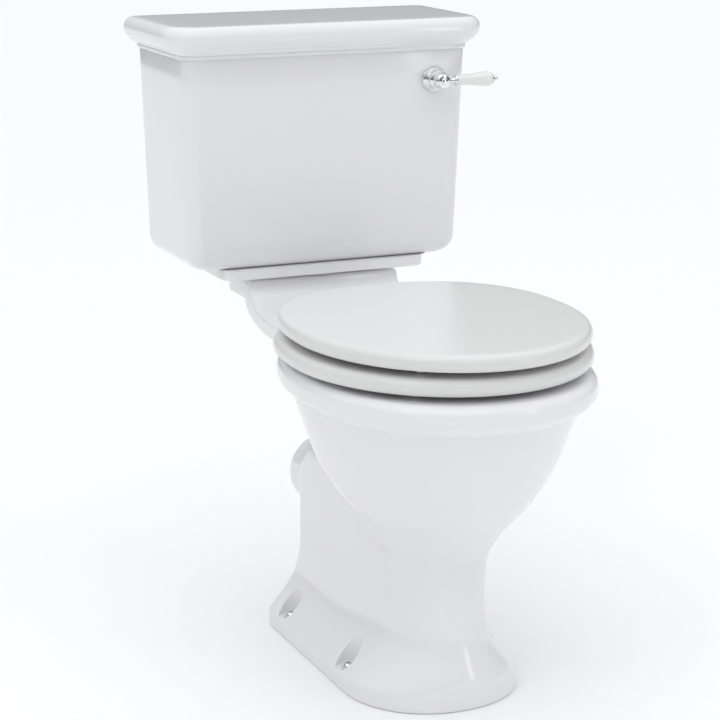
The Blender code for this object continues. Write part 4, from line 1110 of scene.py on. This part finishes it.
class TOILET_OT_stage(bpy.types.Operator):
    """Sets the pale floor, the soft studio lights and the camera"""

    bl_idname = "toilet.stage"
    bl_label = "Stage"

    def execute(self, context):
        deselect()
        bpy.ops.mesh.primitive_plane_add(size=30.0, location=(0, 0, 0))
        floor = named("floor")
        paint = bpy.data.materials.new("floor_paint")
        paint.use_nodes = True
        shader = paint.node_tree.nodes["Principled BSDF"]
        shader.inputs["Base Color"].default_value = (*context.scene.toilet_colours.floor, 1)
        shader.inputs["Roughness"].default_value = 0.9
        shader.inputs["Specular IOR Level"].default_value = 0.1
        floor.data.materials.append(paint)

        context.scene.world = studio_sky()
        area_light("key", KEY_PLACE, KEY_AIM, KEY_SIZE, KEY_WATTS)
        area_light("strip", STRIP_PLACE, STRIP_AIM, STRIP_WIDTH, STRIP_WATTS, STRIP_HEIGHT)
        bpy.ops.object.light_add(type="SUN", rotation=SUN_TILT)
        overhead = context.object
        overhead.name = "overhead"
        overhead.data.energy = SUN_STRENGTH
        overhead.data.angle = SUN_ANGLE

        aim = Vector((math.sin(VIEW_AZIMUTH) * math.cos(VIEW_ELEVATION),
                      -math.cos(VIEW_AZIMUTH) * math.cos(VIEW_ELEVATION), math.sin(VIEW_ELEVATION)))
        bpy.ops.object.camera_add(location=VIEW_TARGET + aim * VIEW_DISTANCE)
        camera = context.object
        camera.rotation_euler = (-aim).to_track_quat("-Z", "Y").to_euler()
        camera.data.lens = LENS
        camera.data.sensor_width = SENSOR
        context.scene.camera = camera
        context.scene.view_settings.view_transform = "Standard"
        return {"FINISHED"}


# ---- Add-on ----------------------------------------------------------------------------------

class TOILET_PT_pieces(bpy.types.Panel):
    """Lists the steps in the order they are run"""

    bl_idname = "TOILET_PT_pieces"
    bl_label = "Toilet"
    bl_space_type = "VIEW_3D"
    bl_region_type = "UI"
    bl_category = "Toilet"

    def draw(self, context):
        for group in (context.scene.toilet_sizes, context.scene.toilet_colours):
            for key in group.__annotations__:
                self.layout.prop(group, key)
        for step in STEPS:
            self.layout.operator(step.bl_idname)


STEPS = (
    TOILET_OT_finishes, TOILET_OT_pan, TOILET_OT_cistern, TOILET_OT_cistern_lid, TOILET_OT_seat,
    TOILET_OT_lever, TOILET_OT_floor_screws, TOILET_OT_hinge, TOILET_OT_bumpers, TOILET_OT_kept_parts,
    TOILET_OT_stage,
)
CLASSES = (ToiletSizes, ToiletColours, *STEPS, TOILET_PT_pieces)


def register():
    for cls in CLASSES:
        bpy.utils.register_class(cls)
    bpy.types.Scene.toilet_sizes = bpy.props.PointerProperty(type=ToiletSizes)
    bpy.types.Scene.toilet_colours = bpy.props.PointerProperty(type=ToiletColours)


def unregister():
    del bpy.types.Scene.toilet_colours
    del bpy.types.Scene.toilet_sizes
    for cls in reversed(CLASSES):
        bpy.utils.unregister_class(cls)


def main():
    register()
    bpy.ops.toilet.finishes()
    bpy.ops.toilet.pan()
    bpy.ops.toilet.cistern()
    bpy.ops.toilet.cistern_lid()
    bpy.ops.toilet.seat()
    bpy.ops.toilet.lever()
    bpy.ops.toilet.floor_screws()
    bpy.ops.toilet.hinge()
    bpy.ops.toilet.bumpers()
    bpy.ops.toilet.kept_parts()
    bpy.ops.toilet.stage()


if __name__ == "__main__":
    main()
